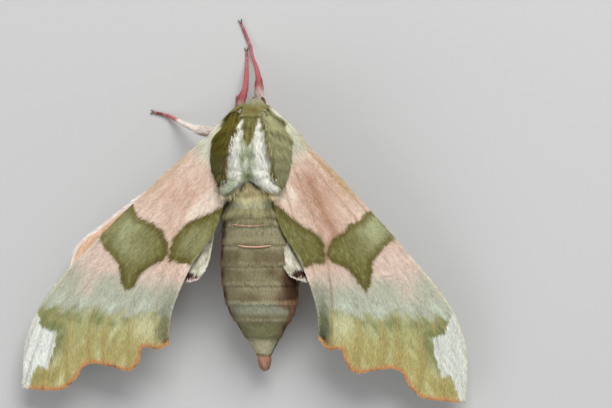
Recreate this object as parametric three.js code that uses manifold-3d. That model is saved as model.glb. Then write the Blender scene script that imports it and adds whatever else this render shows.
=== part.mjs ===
// A lime hawk moth at rest, life size. Lengths are millimetres and +Z is up.
// The head faces -Y and the moth's own left side is +X. Its six feet stand on Z = 0.
// Each named part of the body is one closed solid, out to the tips of its coat.

import * as THREE from 'three';
import { mergeVertices } from 'three/addons/utils/BufferGeometryUtils.js';
import Module from 'manifold-3d';

const wasm = await Module();
wasm.setup();

// ---------------------------------------------------------------- driving sizes

const SIDES = { left: 1, right: -1 };
const GAP = 0.25;
const FINE_GAP = 0.12;
const ROUND = 2 * Math.PI;

// A wing is laid out in its own plan: `along` runs from the hinge to the wing tip, `back` is square to it.
const WING_LENGTH = 34.9;
const WING_THICKNESS = 0.5;
const HINDWING_DROP = 0.85;
const WING_SET = {
  left: { hinge: [3.6, -1.6], sweep: 40.5, scale: 1, hindEdge: -5.4, hindLobe: 0 },
  right: { hinge: [3.6, -2.1], sweep: 34.3, scale: 0.975, hindEdge: -3.4, hindLobe: 0.5 },
};

// Height of a wing over the floor: it leaves the thorax, slopes outwards and droops to the tip.
const WING_RISE = { hinge: 9.6, slope: 0.105, tilt: 0.08, droop: 2.4, camber: 0.02, crest: 3 };

const FOREWING = {
  costa: [[-1.6, -1.2], [1.5, -1.7], [7, -2.65], [16, -3.75], [24.5, -4.4], [30.2, -3.2], [34.9, 0]],
  inner: [[1.2, 2.6], [3.8, 4.3], [7.4, 5.75], [12.2, 6.2], [17, 7.6], [20, 9.5]],
  // [share of the way from tip to rear corner, how far the edge stands out there]
  scallops: [
    [0, 0], [0.15, 0.95], [0.26, 1.35], [0.35, 0.8], [0.43, -0.3], [0.5, -0.38], [0.55, 0.1], [0.62, 0.95],
    [0.69, 1.8], [0.745, 1.7], [0.795, 0.9], [0.835, 0.05], [0.87, 0.1], [0.915, 0.6], [0.965, 0.3], [1, 0],
  ],
  lengthSteps: 8,
  edgeSteps: 24,
};

const HINDWING = {
  scallops: [[0, 0], [0.25, 0.7], [0.5, 0.75], [0.75, 0.6], [0.9, 0.35], [1, 0]],
  lengthSteps: 7,
  edgeSteps: 9,
};

// Rows of a body loft: [y, x, z, half width, height over z, depth under z, lean forward per mm of height].
const HEAD_ROWS = [
  [-6.4, -0.22, 6.15, 0.25, 0.35, 0.35, 0.45],
  [-6.1, -0.22, 6.05, 0.85, 0.95, 0.95, 0.45],
  [-5.5, -0.21, 5.95, 1.35, 1.6, 1.5, 0.45],
  [-4.95, -0.2, 5.95, 1.62, 1.95, 1.7, 0.45],
  [-4.45, -0.18, 6.05, 1.6, 2.1, 1.65, 0.45],
];
const COLLAR_ROWS = [
  [-4.2, -0.15, 6.2, 2.05, 2.6, 1.9, 0.45],
  [-3.95, -0.13, 6.3, 2.45, 2.95, 2.15, 0.45],
  [-3.65, -0.12, 6.4, 2.55, 3.1, 2.3, 0.45],
];
const THORAX_ROWS = [
  [-3.4, -0.1, 6.8, 2.6, 3.1, 2.8, 0.45],
  [-2.4, -0.07, 7.2, 3.45, 4.0, 4.1, 0.35],
  [-0.8, -0.03, 7.4, 3.95, 4.6, 4.8, 0.2],
  [0.8, 0, 7.5, 4.05, 4.5, 4.9, 0.05],
  [2.3, -0.05, 7.4, 3.8, 3.9, 4.6, 0],
  [3.6, -0.1, 7.25, 3.4, 3.05, 4.1, 0],
  [5, -0.15, 7.1, 3.2, 2.85, 3.7, 0],
];
const ABDOMEN_ROWS = [
  [5.3, -0.16, 7.05, 3.15, 2.8, 3.7, 0],
  [8, -0.3, 6.6, 3.95, 3.35, 4.6, 0],
  [10.7, -0.42, 6.2, 4.35, 3.45, 4.8, 0],
  [13.4, -0.5, 5.75, 4.35, 3.2, 4.5, 0],
  [16, -0.6, 5.2, 3.9, 2.75, 3.9, 0],
  [18.4, -0.58, 4.4, 2.5, 2.05, 2.75, 0],
  [20.7, -0.6, 3.55, 1.05, 1.1, 1.25, 0],
];
const TAIL_TUFT_ROWS = [
  [20.85, -0.6, 3.5, 0.9, 0.95, 1.05, 0],
  [21.6, -0.6, 3.3, 0.75, 0.75, 0.8, 0],
  [22.35, -0.6, 3.15, 0.55, 0.5, 0.55, 0],
  [22.6, -0.6, 3.1, 0.2, 0.2, 0.2, 0],
];

// Rear edges of the abdomen's rings, how far each stands over the next ring, and half the step's width.
const RING_EDGES = [6.75, 9, 11.2, 13.3, 15.4, 17.2, 18.95];
const RING_STEP = 0.14;
const RING_STEP_WIDTH = 0.08;

const TEGULA = {
  under: FINE_GAP,
  thickness: 0.75,
  lowest: 7.7,
  highest: 14,
  middle: [3.2, -1.4],
  outline: [[1.1, -5.2], [1.75, -3.4], [2.35, -0.8], [2.75, 2.1], [3.5, 2.9], [4.4, 1.9], [5.6, -0.2],
    [5.4, -3.2], [3.2, -4.7], [1.9, -5.5]],
};
const REAR_TUFT = { place: [2.05, 2.2, 10.5], size: [1.05, 1.75, 0.8], turn: 22 };

// The head is turned a little to the moth's right.
const HEAD_SHIFT = -0.2;
const EYE = { place: [1.22, -4.98, 5.6], radius: 0.78 };

// Limbs are paths of [x, y, z, radius], mirrored for the right side where `side` is -1.
const PALP_PATH = [[0.42, -5.75, 4.35, 0.27], [0.46, -6.25, 4.75, 0.34], [0.5, -6.75, 5.35, 0.2]];
const ANTENNA_PATH = [
  [0.95, -5.98, 7.6, 0.25], [1.9, -5.45, 7.75, 0.29], [3.1, -4.3, 7.55, 0.29],
  [4.35, -3.05, 7.3, 0.28], [5.3, -1.2, 6.9, 0.27], [6.1, 1.1, 6.5, 0.26], [6.6, 2.6, 6.3, 0.25],
];
const LEG_PATHS = {
  foreleg_left: [
    [1.1, -3.1, 3.4, 0.6], [1.6, -4.6, 3.0, 0.62], [2.05, -6.2, 3.3, 0.55], [1.6, -7.8, 2.75, 0.42],
    [1.62, -9.8, 1.5, 0.33], [1.72, -10.8, 0.65, 0.26], [1.78, -11.5, 0.19, 0.25], [1.82, -12.2, 0.17, 0.24],
  ],
  foreleg_right: [
    [-1.1, -3.1, 3.4, 0.6], [-0.75, -4.9, 3.0, 0.62], [-0.05, -7.1, 3.2, 0.5], [0.1, -8.9, 2.7, 0.4],
    [0.5, -10.3, 1.95, 0.33], [1.0, -11.4, 1.1, 0.26], [1.32, -12.6, 0.4, 0.25], [1.8, -13.7, 0.19, 0.25],
    [2.44, -15.3, 0.17, 0.24],
  ],
  midleg_left: [
    [1.6, -1.7, 2.9, 0.65], [3.4, -2.8, 3.3, 0.68], [5.85, -3.2, 4.2, 0.5], [7.4, -3.65, 3.1, 0.42],
    [9.1, -4.35, 1.3, 0.34], [10.3, -4.95, 0.45, 0.27], [11.3, -5.25, 0.19, 0.25], [12.2, -5.45, 0.17, 0.24],
  ],
  midleg_right: [
    [-1.6, -1.7, 2.9, 0.65], [-3.4, -1.7, 3.3, 0.68], [-5.2, -0.7, 4.2, 0.5], [-6.6, 1.0, 2.9, 0.42],
    [-7.7, 2.7, 1.3, 0.34], [-8.3, 3.7, 0.45, 0.27], [-8.8, 4.5, 0.19, 0.25], [-9.3, 5.3, 0.17, 0.24],
  ],
  hindleg_left: [
    [1.6, 1.0, 2.8, 0.65], [3.3, 2.0, 3.2, 0.68], [5.6, 3.4, 4.3, 0.52], [6.9, 5.6, 3.1, 0.43],
    [8.0, 7.9, 1.3, 0.35], [8.5, 9.1, 0.45, 0.28], [8.9, 10.0, 0.19, 0.25], [9.3, 11, 0.17, 0.24],
  ],
  hindleg_right: [
    [-1.6, 1.0, 2.8, 0.65], [-3.3, 2.0, 3.2, 0.68], [-5.7, 3.3, 4.3, 0.52], [-7.0, 5.6, 3.1, 0.43],
    [-8.2, 8.0, 1.3, 0.35], [-8.7, 9.3, 0.45, 0.28], [-9.1, 10.3, 0.19, 0.25], [-9.5, 11.4, 0.17, 0.24],
  ],
};

const FINISH = {
  head: { color: 0x7d7c42, roughness: 0.95 },
  eye: { color: 0x1a120d, roughness: 0.25 },
  palp: { color: 0xb9867a, roughness: 0.95 },
  antenna: { color: 0xe2dacb, roughness: 0.8 },
  collar: { color: 0x77763c, roughness: 0.95 },
  thorax: { color: 0xc6cfb9, roughness: 0.95 },
  tegula: { color: 0x6e6e34, roughness: 0.95 },
  abdomen: { color: 0x8c8763, roughness: 0.95 },
  tuft: { color: 0xb9785e, roughness: 0.95 },
  forewing: { color: 0xb9ae86, roughness: 0.85 },
  hindwing: { color: 0xcf9a6a, roughness: 0.85 },
  leg: { color: 0xbe6158, roughness: 0.8 },
};

// ---------------------------------------------------------------- curves

function catmullRom(t, before, from, to, after) {
  const leave = (to - before) / 2;
  const arrive = (after - from) / 2;
  const cubic = 2 * from - 2 * to + leave + arrive;
  const square = -3 * from + 3 * to - 2 * leave - arrive;
  return ((cubic * t + square) * t + leave) * t + from;
}

// The row at share t (0 to 1) of a smooth run through all rows, column by column.
function rowAt(rows, t) {
  const last = rows.length - 1;
  const place = THREE.MathUtils.clamp(t, 0, 1) * last;
  const index = Math.min(Math.floor(place), last - 1);
  const row = (k) => rows[THREE.MathUtils.clamp(k, 0, last)];
  return rows[0].map((_, column) => catmullRom(
    place - index,
    row(index - 1)[column],
    row(index)[column],
    row(index + 1)[column],
    row(index + 2)[column],
  ));
}

// The share t at which a run of rows reaches a value in its first column, which must rise.
function shareAt(rows, value) {
  let low = 0;
  let high = 1;
  for (let step = 0; step < 30; step += 1) {
    const middle = (low + high) / 2;
    if (rowAt(rows, middle)[0] < value) low = middle;
    else high = middle;
  }
  return (low + high) / 2;
}

const evenly = (count) => Array.from({ length: count + 1 }, (_, i) => i / count);

// ---------------------------------------------------------------- solids

function geometryOf(points, triangles) {
  const geometry = new THREE.BufferGeometry();
  geometry.setAttribute('position', new THREE.Float32BufferAttribute(points.flat(), 3));
  geometry.setIndex(triangles.flat());
  return geometry;
}

// Joins rings of points into one closed skin, each end closed by a fan.
function joinRings(rings) {
  const sides = rings[0].length;
  const points = rings.flat();
  const triangles = [];
  for (let r = 0; r < rings.length - 1; r += 1) {
    for (let s = 0; s < sides; s += 1) {
      const a = r * sides + s;
      const b = r * sides + ((s + 1) % sides);
      triangles.push([a, b, b + sides], [a, b + sides, a + sides]);
    }
  }
  for (const [ring, start, turn] of [[rings[0], 0, 1], [rings.at(-1), (rings.length - 1) * sides, -1]]) {
    const hub = points.length;
    points.push([0, 1, 2].map((axis) => ring.reduce((sum, p) => sum + p[axis], 0) / sides));
    for (let s = 0; s < sides; s += 1) {
      const next = start + ((s + 1) % sides);
      triangles.push(turn > 0 ? [hub, next, start + s] : [hub, start + s, next]);
    }
  }
  return geometryOf(points, triangles);
}

function bodyRing([y, x, z, wide, over, under, lean], sides, grow) {
  return Array.from({ length: sides }, (_, s) => {
    const angle = (-ROUND * s) / sides;
    const rise = Math.sin(angle);
    const height = rise * ((rise > 0 ? over : under) + grow);
    return [x + Math.cos(angle) * (wide + grow), y - lean * height, z + height];
  });
}

// A body solid through rows that run from head to tail. `grow` swells it on all sides.
function bodyLoft(rows, { shares = evenly(12), sides = 22, grow = 0, swell = () => 0 } = {}) {
  const rings = shares.map((t) => {
    const row = rowAt(rows, t);
    if (t === 0) row[0] -= grow;
    if (t === 1) row[0] += grow;
    return bodyRing(row, sides, grow + swell(row[0]));
  });
  return joinRings(rings);
}

// A limb along a path of [x, y, z, radius]. Nothing of it goes under the floor, which flattens the foot.
function limb(path, { steps, sides, side = 1 }) {
  const rings = evenly(steps).map((t) => {
    const [x, y, z, radius] = rowAt(path, t);
    const near = rowAt(path, Math.max(t - 0.01, 0));
    const far = rowAt(path, Math.min(t + 0.01, 1));
    const heading = new THREE.Vector3(far[0] - near[0], far[1] - near[1], far[2] - near[2]).normalize();
    const across = new THREE.Vector3().crossVectors(heading, new THREE.Vector3(0, 0, 1)).normalize();
    const over = new THREE.Vector3().crossVectors(across, heading);
    return Array.from({ length: sides }, (_, s) => {
      const angle = (-side * ROUND * (s + 0.5)) / sides;
      const point = new THREE.Vector3(x, y, z)
        .addScaledVector(across, radius * Math.cos(angle))
        .addScaledVector(over, radius * Math.sin(angle));
      return [side * point.x, point.y, Math.max(point.z, 0)];
    });
  });
  return joinRings(rings);
}

function ball(place, size, turn = 0) {
  const geometry = new THREE.SphereGeometry(1, 14, 9);
  geometry.scale(...size);
  geometry.rotateZ(THREE.MathUtils.degToRad(turn));
  geometry.translate(...place);
  return geometry;
}

function solid(geometry) {
  const bare = geometry.clone();
  bare.deleteAttribute('normal');
  bare.deleteAttribute('uv');
  const merged = mergeVertices(bare);
  return new wasm.Manifold(new wasm.Mesh({
    numProp: 3,
    vertProperties: new Float32Array(merged.attributes.position.array),
    triVerts: new Uint32Array(merged.index.array),
  }));
}

function surface(manifold) {
  const mesh = manifold.getMesh();
  const geometry = new THREE.BufferGeometry();
  geometry.setAttribute('position', new THREE.BufferAttribute(mesh.vertProperties, 3));
  geometry.setIndex(new THREE.BufferAttribute(mesh.triVerts, 1));
  geometry.computeVertexNormals();
  return geometry;
}

// ---------------------------------------------------------------- wings

// A wing's outer edge: the straight way from tip to rear corner, pushed out by its scallops.
function outerEdge(tip, corner, scallops, v) {
  const [share, depth] = rowAt(scallops, v);
  const run = [corner[0] - tip[0], corner[1] - tip[1]];
  const length = Math.hypot(...run);
  return [
    tip[0] + run[0] * share + (-run[1] / length) * -depth,
    tip[1] + run[1] * share + (run[0] / length) * -depth,
  ];
}

// A point of the wing plan: u runs from the root to the outer edge, v from the front edge to the rear one.
function wingPlan({ costa, inner, scallops }, u, v) {
  const front = rowAt(costa, u);
  const rear = rowAt(inner, u);
  const root = [0, 1].map((k) => THREE.MathUtils.lerp(costa[0][k], inner[0][k], v));
  const edge = outerEdge(costa.at(-1), inner.at(-1), scallops, v);
  return [0, 1].map((k) => {
    const between = (1 - v) * front[k] + v * rear[k] + (1 - u) * root[k] + u * edge[k];
    const corners = (1 - u) * ((1 - v) * costa[0][k] + v * inner[0][k])
      + u * ((1 - v) * costa.at(-1)[k] + v * inner.at(-1)[k]);
    return between - corners;
  });
}

function wingHeight(along, back) {
  const out = Math.max(along, 0);
  return WING_RISE.hinge - WING_RISE.slope * out + WING_RISE.tilt * back
    - WING_RISE.droop * (out / WING_LENGTH) ** 2 - WING_RISE.camber * (back - WING_RISE.crest) ** 2;
}

// Places a point of a wing plan on the moth.
function wingPoint(name, [along, back], lift) {
  const { hinge, sweep, scale } = WING_SET[name];
  const angle = THREE.MathUtils.degToRad(sweep);
  const outwards = hinge[0] + scale * (along * Math.sin(angle) - back * Math.cos(angle));
  const rearwards = hinge[1] + scale * (along * Math.cos(angle) + back * Math.sin(angle));
  return [SIDES[name] * outwards, rearwards, wingHeight(along, back) + lift];
}

// A plate of even thickness over the wing plan: a top grid, an underside grid and a rim.
function wingSolid(name, wing, drop) {
  const across = wing.edgeSteps + 1;
  const sheet = (lift) => evenly(wing.lengthSteps).flatMap((u) => evenly(wing.edgeSteps).map(
    (v) => wingPoint(name, wingPlan(wing, Math.sqrt(u), v), lift - drop),
  ));
  const points = [...sheet(WING_THICKNESS / 2), ...sheet(-WING_THICKNESS / 2)];
  const under = (wing.lengthSteps + 1) * across;
  const triangles = [];
  const quad = (a, b, c, d) => triangles.push([a, b, c], [a, c, d]);
  for (let i = 0; i < wing.lengthSteps; i += 1) {
    for (let j = 0; j < wing.edgeSteps; j += 1) {
      const a = i * across + j;
      quad(a, a + 1, a + across + 1, a + across);
      quad(under + a, under + a + across, under + a + across + 1, under + a + 1);
    }
    const front = i * across;
    const rear = front + wing.edgeSteps;
    quad(front, front + across, under + front + across, under + front);
    quad(rear, under + rear, under + rear + across, rear + across);
  }
  for (let j = 0; j < wing.edgeSteps; j += 1) {
    const edge = wing.lengthSteps * across + j;
    quad(j, under + j, under + j + 1, j + 1);
    quad(edge, edge + 1, under + edge + 1, under + edge);
  }
  if (SIDES[name] > 0) triangles.forEach((triangle) => triangle.reverse());
  return geometryOf(points, triangles);
}

// A hindwing is turned further forward on one side than on the other.
function hindwingPlan(name) {
  const { hindEdge, hindLobe } = WING_SET[name];
  return {
    ...HINDWING,
    costa: [[2, 1.2], [5, -1.6], [10, -3.3], [15.4, hindEdge + 0.7], [18.8, hindEdge], [21.4, hindEdge + 1]],
    inner: [[2.8, 3.4], [6.8, 5.3 + hindLobe], [10.4, 7.3 + hindLobe], [12.5, 7.6 + hindLobe]],
  };
}

// ---------------------------------------------------------------- the moth

const parts = new THREE.Group();

function add(name, finish, geometry) {
  const mesh = new THREE.Mesh(geometry, new THREE.MeshStandardMaterial({ metalness: 0, ...FINISH[finish] }));
  mesh.name = name;
  parts.add(mesh);
}

const grownThorax = (grow) => solid(bodyLoft(THORAX_ROWS, { shares: evenly(11), grow }));
const grownAbdomen = (grow) => solid(bodyLoft(ABDOMEN_ROWS, { shares: evenly(14), grow }));
const grownHead = (grow) => solid(bodyLoft(HEAD_ROWS, { shares: evenly(6), sides: 18, grow }));
const grownCollar = (grow) => solid(bodyLoft(COLLAR_ROWS, { shares: evenly(3), sides: 24, grow }));

// An upright prism over a tegula's outline, pushed out by `slack`.
function tegulaColumn(side, slack) {
  const middle = new THREE.Vector2(...TEGULA.middle);
  const corners = TEGULA.outline.map(([x, y]) => {
    const corner = new THREE.Vector2(x, y);
    const away = corner.clone().sub(middle).normalize();
    return corner.addScaledVector(away, slack).multiply(new THREE.Vector2(side, 1));
  });
  if (side < 0) corners.reverse();
  const outline = new THREE.Shape(new THREE.SplineCurve([...corners, corners[0]]).getPoints(26).slice(0, -1));
  const column = new THREE.ExtrudeGeometry(outline, {
    depth: TEGULA.highest - TEGULA.lowest + slack,
    bevelEnabled: false,
  });
  column.translate(0, 0, TEGULA.lowest - slack);
  return solid(column);
}

// The space of a tegula and all that lies under it, grown on all sides.
function shoulder(side, grow) {
  return tegulaColumn(side, grow).intersect(grownThorax(TEGULA.under + TEGULA.thickness + grow));
}

// A tuft of long white hair-scales that stands over the rear of the thorax.
function rearTuft(side, grow) {
  const [x, y, z] = REAR_TUFT.place;
  return solid(ball([side * x, y, z], REAR_TUFT.size.map((size) => size + grow), -side * REAR_TUFT.turn));
}

function addHead() {
  let head = grownHead(0);
  for (const [name, side] of Object.entries(SIDES)) {
    const place = [side * EYE.place[0] + HEAD_SHIFT, EYE.place[1], EYE.place[2]];
    const socket = EYE.radius + FINE_GAP;
    add(`eye_${name}`, 'eye', ball(place, [EYE.radius, EYE.radius, EYE.radius]));
    head = head.subtract(solid(ball(place, [socket, socket, socket])));
  }
  add('head', 'head', surface(head));
}

function addFeelers(name, side) {
  const palpPath = PALP_PATH.map(([x, ...rest]) => [x + side * HEAD_SHIFT, ...rest]);
  const palp = solid(limb(palpPath, { steps: 5, sides: 8, side })).subtract(grownHead(FINE_GAP));
  add(`palp_${name}`, 'palp', surface(palp));
  const antenna = solid(limb(ANTENNA_PATH, { steps: 15, sides: 7, side }))
    .subtract(grownHead(FINE_GAP))
    .subtract(grownCollar(FINE_GAP))
    .subtract(grownThorax(FINE_GAP))
    .subtract(shoulder(side, FINE_GAP));
  add(`antenna_${name}`, 'antenna', surface(antenna));
}

function addThorax() {
  let thorax = grownThorax(0);
  for (const side of Object.values(SIDES)) thorax = thorax.add(rearTuft(side, 0));
  add('thorax', 'thorax', surface(thorax));
  add('collar', 'collar', surface(grownCollar(0)));
  for (const [name, side] of Object.entries(SIDES)) {
    const lobe = shoulder(side, 0)
      .subtract(grownThorax(TEGULA.under))
      .subtract(grownCollar(FINE_GAP))
      .subtract(grownHead(FINE_GAP))
      .subtract(rearTuft(side, FINE_GAP));
    add(`tegula_${name}`, 'tegula', surface(lobe));
  }
}

// Each ring of the abdomen swells towards its rear edge and steps down to the next.
function ringSwell(y) {
  const next = RING_EDGES.findIndex((edge) => y < edge);
  const end = next < 0 ? ABDOMEN_ROWS.at(-1)[0] : RING_EDGES[next];
  const start = next === 0 ? ABDOMEN_ROWS[0][0] : RING_EDGES.at(next < 0 ? -1 : next - 1);
  return RING_STEP * ((y - start) / (end - start) - 1);
}

function addAbdomen() {
  const stations = RING_EDGES.flatMap((edge) => [edge - RING_STEP_WIDTH, edge + RING_STEP_WIDTH]);
  const middles = [ABDOMEN_ROWS[0][0], ...RING_EDGES].map(
    (start, i) => (start + (RING_EDGES[i] ?? ABDOMEN_ROWS.at(-1)[0])) / 2,
  );
  const shares = [...stations, ...middles].sort((a, b) => a - b).map((y) => shareAt(ABDOMEN_ROWS, y));
  const geometry = bodyLoft(ABDOMEN_ROWS, { shares: [0, ...shares, 1], swell: ringSwell });
  add('abdomen', 'abdomen', geometry);
  add('anal_tuft', 'tuft', bodyLoft(TAIL_TUFT_ROWS, { shares: evenly(5), sides: 14 }));
}

function addWings(name, side) {
  const body = grownThorax(GAP).add(grownAbdomen(GAP)).add(shoulder(side, GAP));
  const forewing = solid(wingSolid(name, FOREWING, 0)).subtract(body);
  const hindwing = solid(wingSolid(name, hindwingPlan(name), HINDWING_DROP)).subtract(body);
  add(`forewing_${name}`, 'forewing', surface(largest(forewing)));
  add(`hindwing_${name}`, 'hindwing', surface(largest(hindwing)));
}

// A cut can leave crumbs: the largest piece is the part.
function largest(manifold) {
  return manifold.decompose().reduce((a, b) => (a.volume() > b.volume() ? a : b));
}

function addLegs() {
  for (const [name, path] of Object.entries(LEG_PATHS)) {
    const leg = solid(limb(path, { steps: 16, sides: 8 }))
      .subtract(grownThorax(GAP))
      .subtract(grownHead(FINE_GAP));
    add(name, 'leg', surface(largest(leg)));
  }
}

addHead();
addThorax();
addAbdomen();
addLegs();
for (const [name, side] of Object.entries(SIDES)) {
  addFeelers(name, side);
  addWings(name, side);
}

// The origin is the middle of the moth's outline on the floor.
const outline = new THREE.Box3().setFromObject(parts);
const centre = outline.getCenter(new THREE.Vector3());
parts.position.set(-centre.x, -centre.y, -outline.min.z);

const moth = new THREE.Group();
moth.add(parts);

export default moth;
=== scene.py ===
"""A lime hawk moth at rest, life size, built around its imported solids.

Shapes are worked out in millimetres on the moth's own axes (its left side is +X, its tail +Y, up is +Z),
and every finished piece is put into metres in the row frame."""

import math

import bpy
import numpy as np
from mathutils import Matrix, Vector
from mathutils.bvhtree import BVHTree


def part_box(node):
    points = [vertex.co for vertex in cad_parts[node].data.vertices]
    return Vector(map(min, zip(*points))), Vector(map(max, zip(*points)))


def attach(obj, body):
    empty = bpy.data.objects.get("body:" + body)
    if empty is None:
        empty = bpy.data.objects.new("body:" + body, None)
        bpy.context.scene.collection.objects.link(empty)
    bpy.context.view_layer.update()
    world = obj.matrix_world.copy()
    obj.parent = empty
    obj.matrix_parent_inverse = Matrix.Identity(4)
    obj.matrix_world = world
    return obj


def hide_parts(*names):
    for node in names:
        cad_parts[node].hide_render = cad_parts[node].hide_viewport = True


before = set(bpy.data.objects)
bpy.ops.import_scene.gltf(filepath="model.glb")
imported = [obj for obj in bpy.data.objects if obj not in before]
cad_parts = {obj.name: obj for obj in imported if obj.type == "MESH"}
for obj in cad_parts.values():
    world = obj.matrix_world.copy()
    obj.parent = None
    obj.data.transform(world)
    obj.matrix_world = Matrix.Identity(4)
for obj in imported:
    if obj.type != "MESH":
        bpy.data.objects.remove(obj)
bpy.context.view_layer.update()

MM = 0.001
SIDES = {"left": 1, "right": -1}
EYE_PLACE = (1.22, -4.98, 5.6)
EYE_RADIUS = 0.78
HEAD_SHIFT = -0.2  # the head sits a little towards the moth's right

# Where the moth's own axes start in the row frame, found from the left eye.
eye_low, eye_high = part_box("eye_left")
eye_centre = (eye_low + eye_high) / 2 / MM
ROW_SHIFT = np.array([
    eye_centre.x - EYE_PLACE[0] - HEAD_SHIFT,
    eye_centre.y - EYE_PLACE[1],
    eye_centre.z - EYE_PLACE[2],
])

# ---------------------------------------------------------------- sizes of the moth

WING_LENGTH = 34.9
HINDWING_DROP = 0.85
# Each side's hinge, sweep in degrees and scale, its forewing's tip, and the edges of its hindwing.
WING_SET = {
    "left": dict(hinge=(3.6, -1.6), sweep=40.5, scale=1.0, tip=[(30.2, -3.2), (34.9, 0)],
                 hind_front=-3.3, hind_edge=-5.4, hind_lobe=0.0),
    "right": dict(hinge=(3.6, -2.1), sweep=34.3, scale=0.975, tip=[(30.2, -3.0), (34.8, 0.35)],
                  hind_front=-2.4, hind_edge=-3.4, hind_lobe=0.5),
}
FOREWING_FRONT = [(-1.6, -1.2), (1.5, -1.7), (7, -2.65), (16, -3.75), (24.5, -4.4)]
FOREWING_REAR = [(1.2, 2.6), (3.8, 4.3), (7.4, 5.75), (12.2, 6.2), (17, 7.6), (20, 9.5)]
# Share along the outer edge from the tip to the rear corner, and how far the edge stands out there.
SCALLOPS = {
    "left": [
        (0, 0), (0.15, 0.95), (0.26, 1.35), (0.35, 0.8), (0.43, -0.3), (0.5, -0.38), (0.55, 0.0), (0.62, 0.7),
        (0.69, 1.45), (0.745, 1.4), (0.795, 0.6), (0.83, -0.35), (0.87, -0.3), (0.915, 0.15), (0.965, 0.2), (1, 0),
    ],
    "right": [
        (0, 0), (0.15, 0.85), (0.26, 1.3), (0.35, 0.8), (0.43, -0.3), (0.5, -0.38), (0.55, 0.1), (0.62, 0.9),
        (0.69, 1.65), (0.745, 1.6), (0.795, 0.9), (0.835, 0.05), (0.87, 0.1), (0.915, 0.6), (0.965, 0.3), (1, 0),
    ],
}
HINDWING_SCALLOPS = [(0, 0), (0.25, 0.7), (0.5, 0.75), (0.75, 0.6), (0.9, 0.35), (1, 0)]

# Veins of a forewing in its plan (along, back), from the hinge to the outer edge.
FOREWING_VEINS = [
    [(-1, -0.9), (10, -2.7), (20, -3.8), (28, -3.5), (33, -1.6)],
    [(-1, -0.4), (10, -1.4), (19, -1.9), (27.5, -2.5), (34.4, 0.1)],
    [(19, -1.9), (25.3, -1.9), (33.1, 1.8)],
    [(19, -1.7), (24, -0.8), (27.3, 0.7), (30.6, 3.5)],
    [(18.6, -0.4), (22.5, 0.9), (26, 2.9), (28.4, 5.2)],
    [(17.6, 0.9), (21, 2.1), (24.2, 3.7), (26.9, 6.0)],
    [(15.8, 2.2), (19.2, 3.8), (22.2, 5.6), (25.2, 8.2)],
    [(12.6, 3.1), (15.5, 4.7), (19.1, 6.9), (21.3, 8.8)],
    [(0, 0.6), (6, 1.4), (12.6, 3.1), (15.8, 2.2), (17.6, 0.9), (18.6, -0.4), (19, -1.8)],
    [(0.5, 1.6), (7, 3.8), (13, 5.2), (19.4, 9.0)],
]

# Markings of each forewing in its plan.
COSTAL_BLOTCH = {
    "left": [
        (10.6, -4.2), (11.2, -2.8), (11.7, -1.9), (11.2, -0.3), (11.0, 1.3), (11.7, 2.7), (12.3, 3.35),
        (13.2, 3.4), (15.2, 2.6), (16.5, 2.4), (17.8, 2.75), (18.7, 2.3), (18.4, 1.3), (17.3, 0.1),
        (16.9, -1.3), (16.9, -2.6), (16.2, -4.4),
    ],
    "right": [
        (11.7, -4.2), (11.5, -2.6), (11.9, -1.8), (11.5, -0.4), (11.9, 0.4), (11.8, 1.8), (12.4, 2.9),
        (13.0, 3.5), (14.2, 3.2), (15.0, 2.6), (16.2, 2.3), (17.3, 2.3), (18.8, 2.2), (18.1, 1.1),
        (16.4, -0.3), (15.8, -2.4), (15.5, -4.4),
    ],
}
DORSAL_BLOTCH = {
    "left": [
        (12.1, 3.25), (11, 2.8), (9.7, 2.6), (8.2, 3.0), (6.6, 3.8), (5.4, 4.4), (3.4, 5.4),
        (6, 8), (11.6, 7.4), (12, 5.5), (12.5, 4.7), (13.1, 4.0), (12.8, 3.5),
    ],
    "right": [
        (12.5, 3.35), (11.8, 2.9), (10.5, 2.9), (8.9, 3.6), (7.2, 4.3), (5.8, 4.6), (3.4, 5.4),
        (6, 8), (12.8, 7.4), (12.8, 5.6), (13.1, 5.0), (13.7, 4.0), (13.1, 3.5),
    ],
}
APEX_PATCH = {
    "left": [
        (27.2, -4.9), (27.6, -3.6), (28.3, -2.7), (27.9, -1.3), (27.3, -1.1), (28.8, 0), (31.5, 1.0),
        (31.7, -0.1), (32.8, -0.1), (34.6, 0.7), (36.5, 1.2), (36, -3),
    ],
    "right": [
        (25.8, -4.9), (26.1, -3.8), (27.4, -2.1), (26.9, -0.8), (28.7, 0.1), (31.3, 0.9), (31.3, -0.2),
        (33.4, 0.5), (35, 0.8), (36.5, 1.2), (36, -3),
    ],
}
# The line where a forewing's olive outer field starts.
OUTER_LINE = [(26.8, -5.5), (26.3, -3.7), (24.9, -1.7), (23.2, 0.8), (22.0, 2.7), (20.7, 4.5), (18.7, 6.2), (17.6, 9)]
TORNAL_PATCH = [(14.6, 6.1), (15.6, 5.5), (17.8, 6.6), (20.2, 8.1), (20.4, 9.6), (19.3, 10.4), (15, 8)]

# Rows along the abdomen: [y, x, z, half width, height over z, depth under z].
ABDOMEN_ROWS = [
    (5.3, -0.16, 7.05, 3.15, 2.8, 3.7), (8, -0.3, 6.6, 3.95, 3.35, 4.6), (10.7, -0.42, 6.2, 4.35, 3.45, 4.8),
    (13.4, -0.5, 5.75, 4.35, 3.2, 4.5), (16, -0.6, 5.2, 3.9, 2.75, 3.9), (18.4, -0.58, 4.4, 2.5, 2.05, 2.75),
    (20.7, -0.6, 3.55, 1.05, 1.1, 1.25),
]
RING_EDGES = [5.3, 6.75, 9.0, 11.2, 13.3, 15.4, 17.2, 18.95, 20.9]

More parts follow.
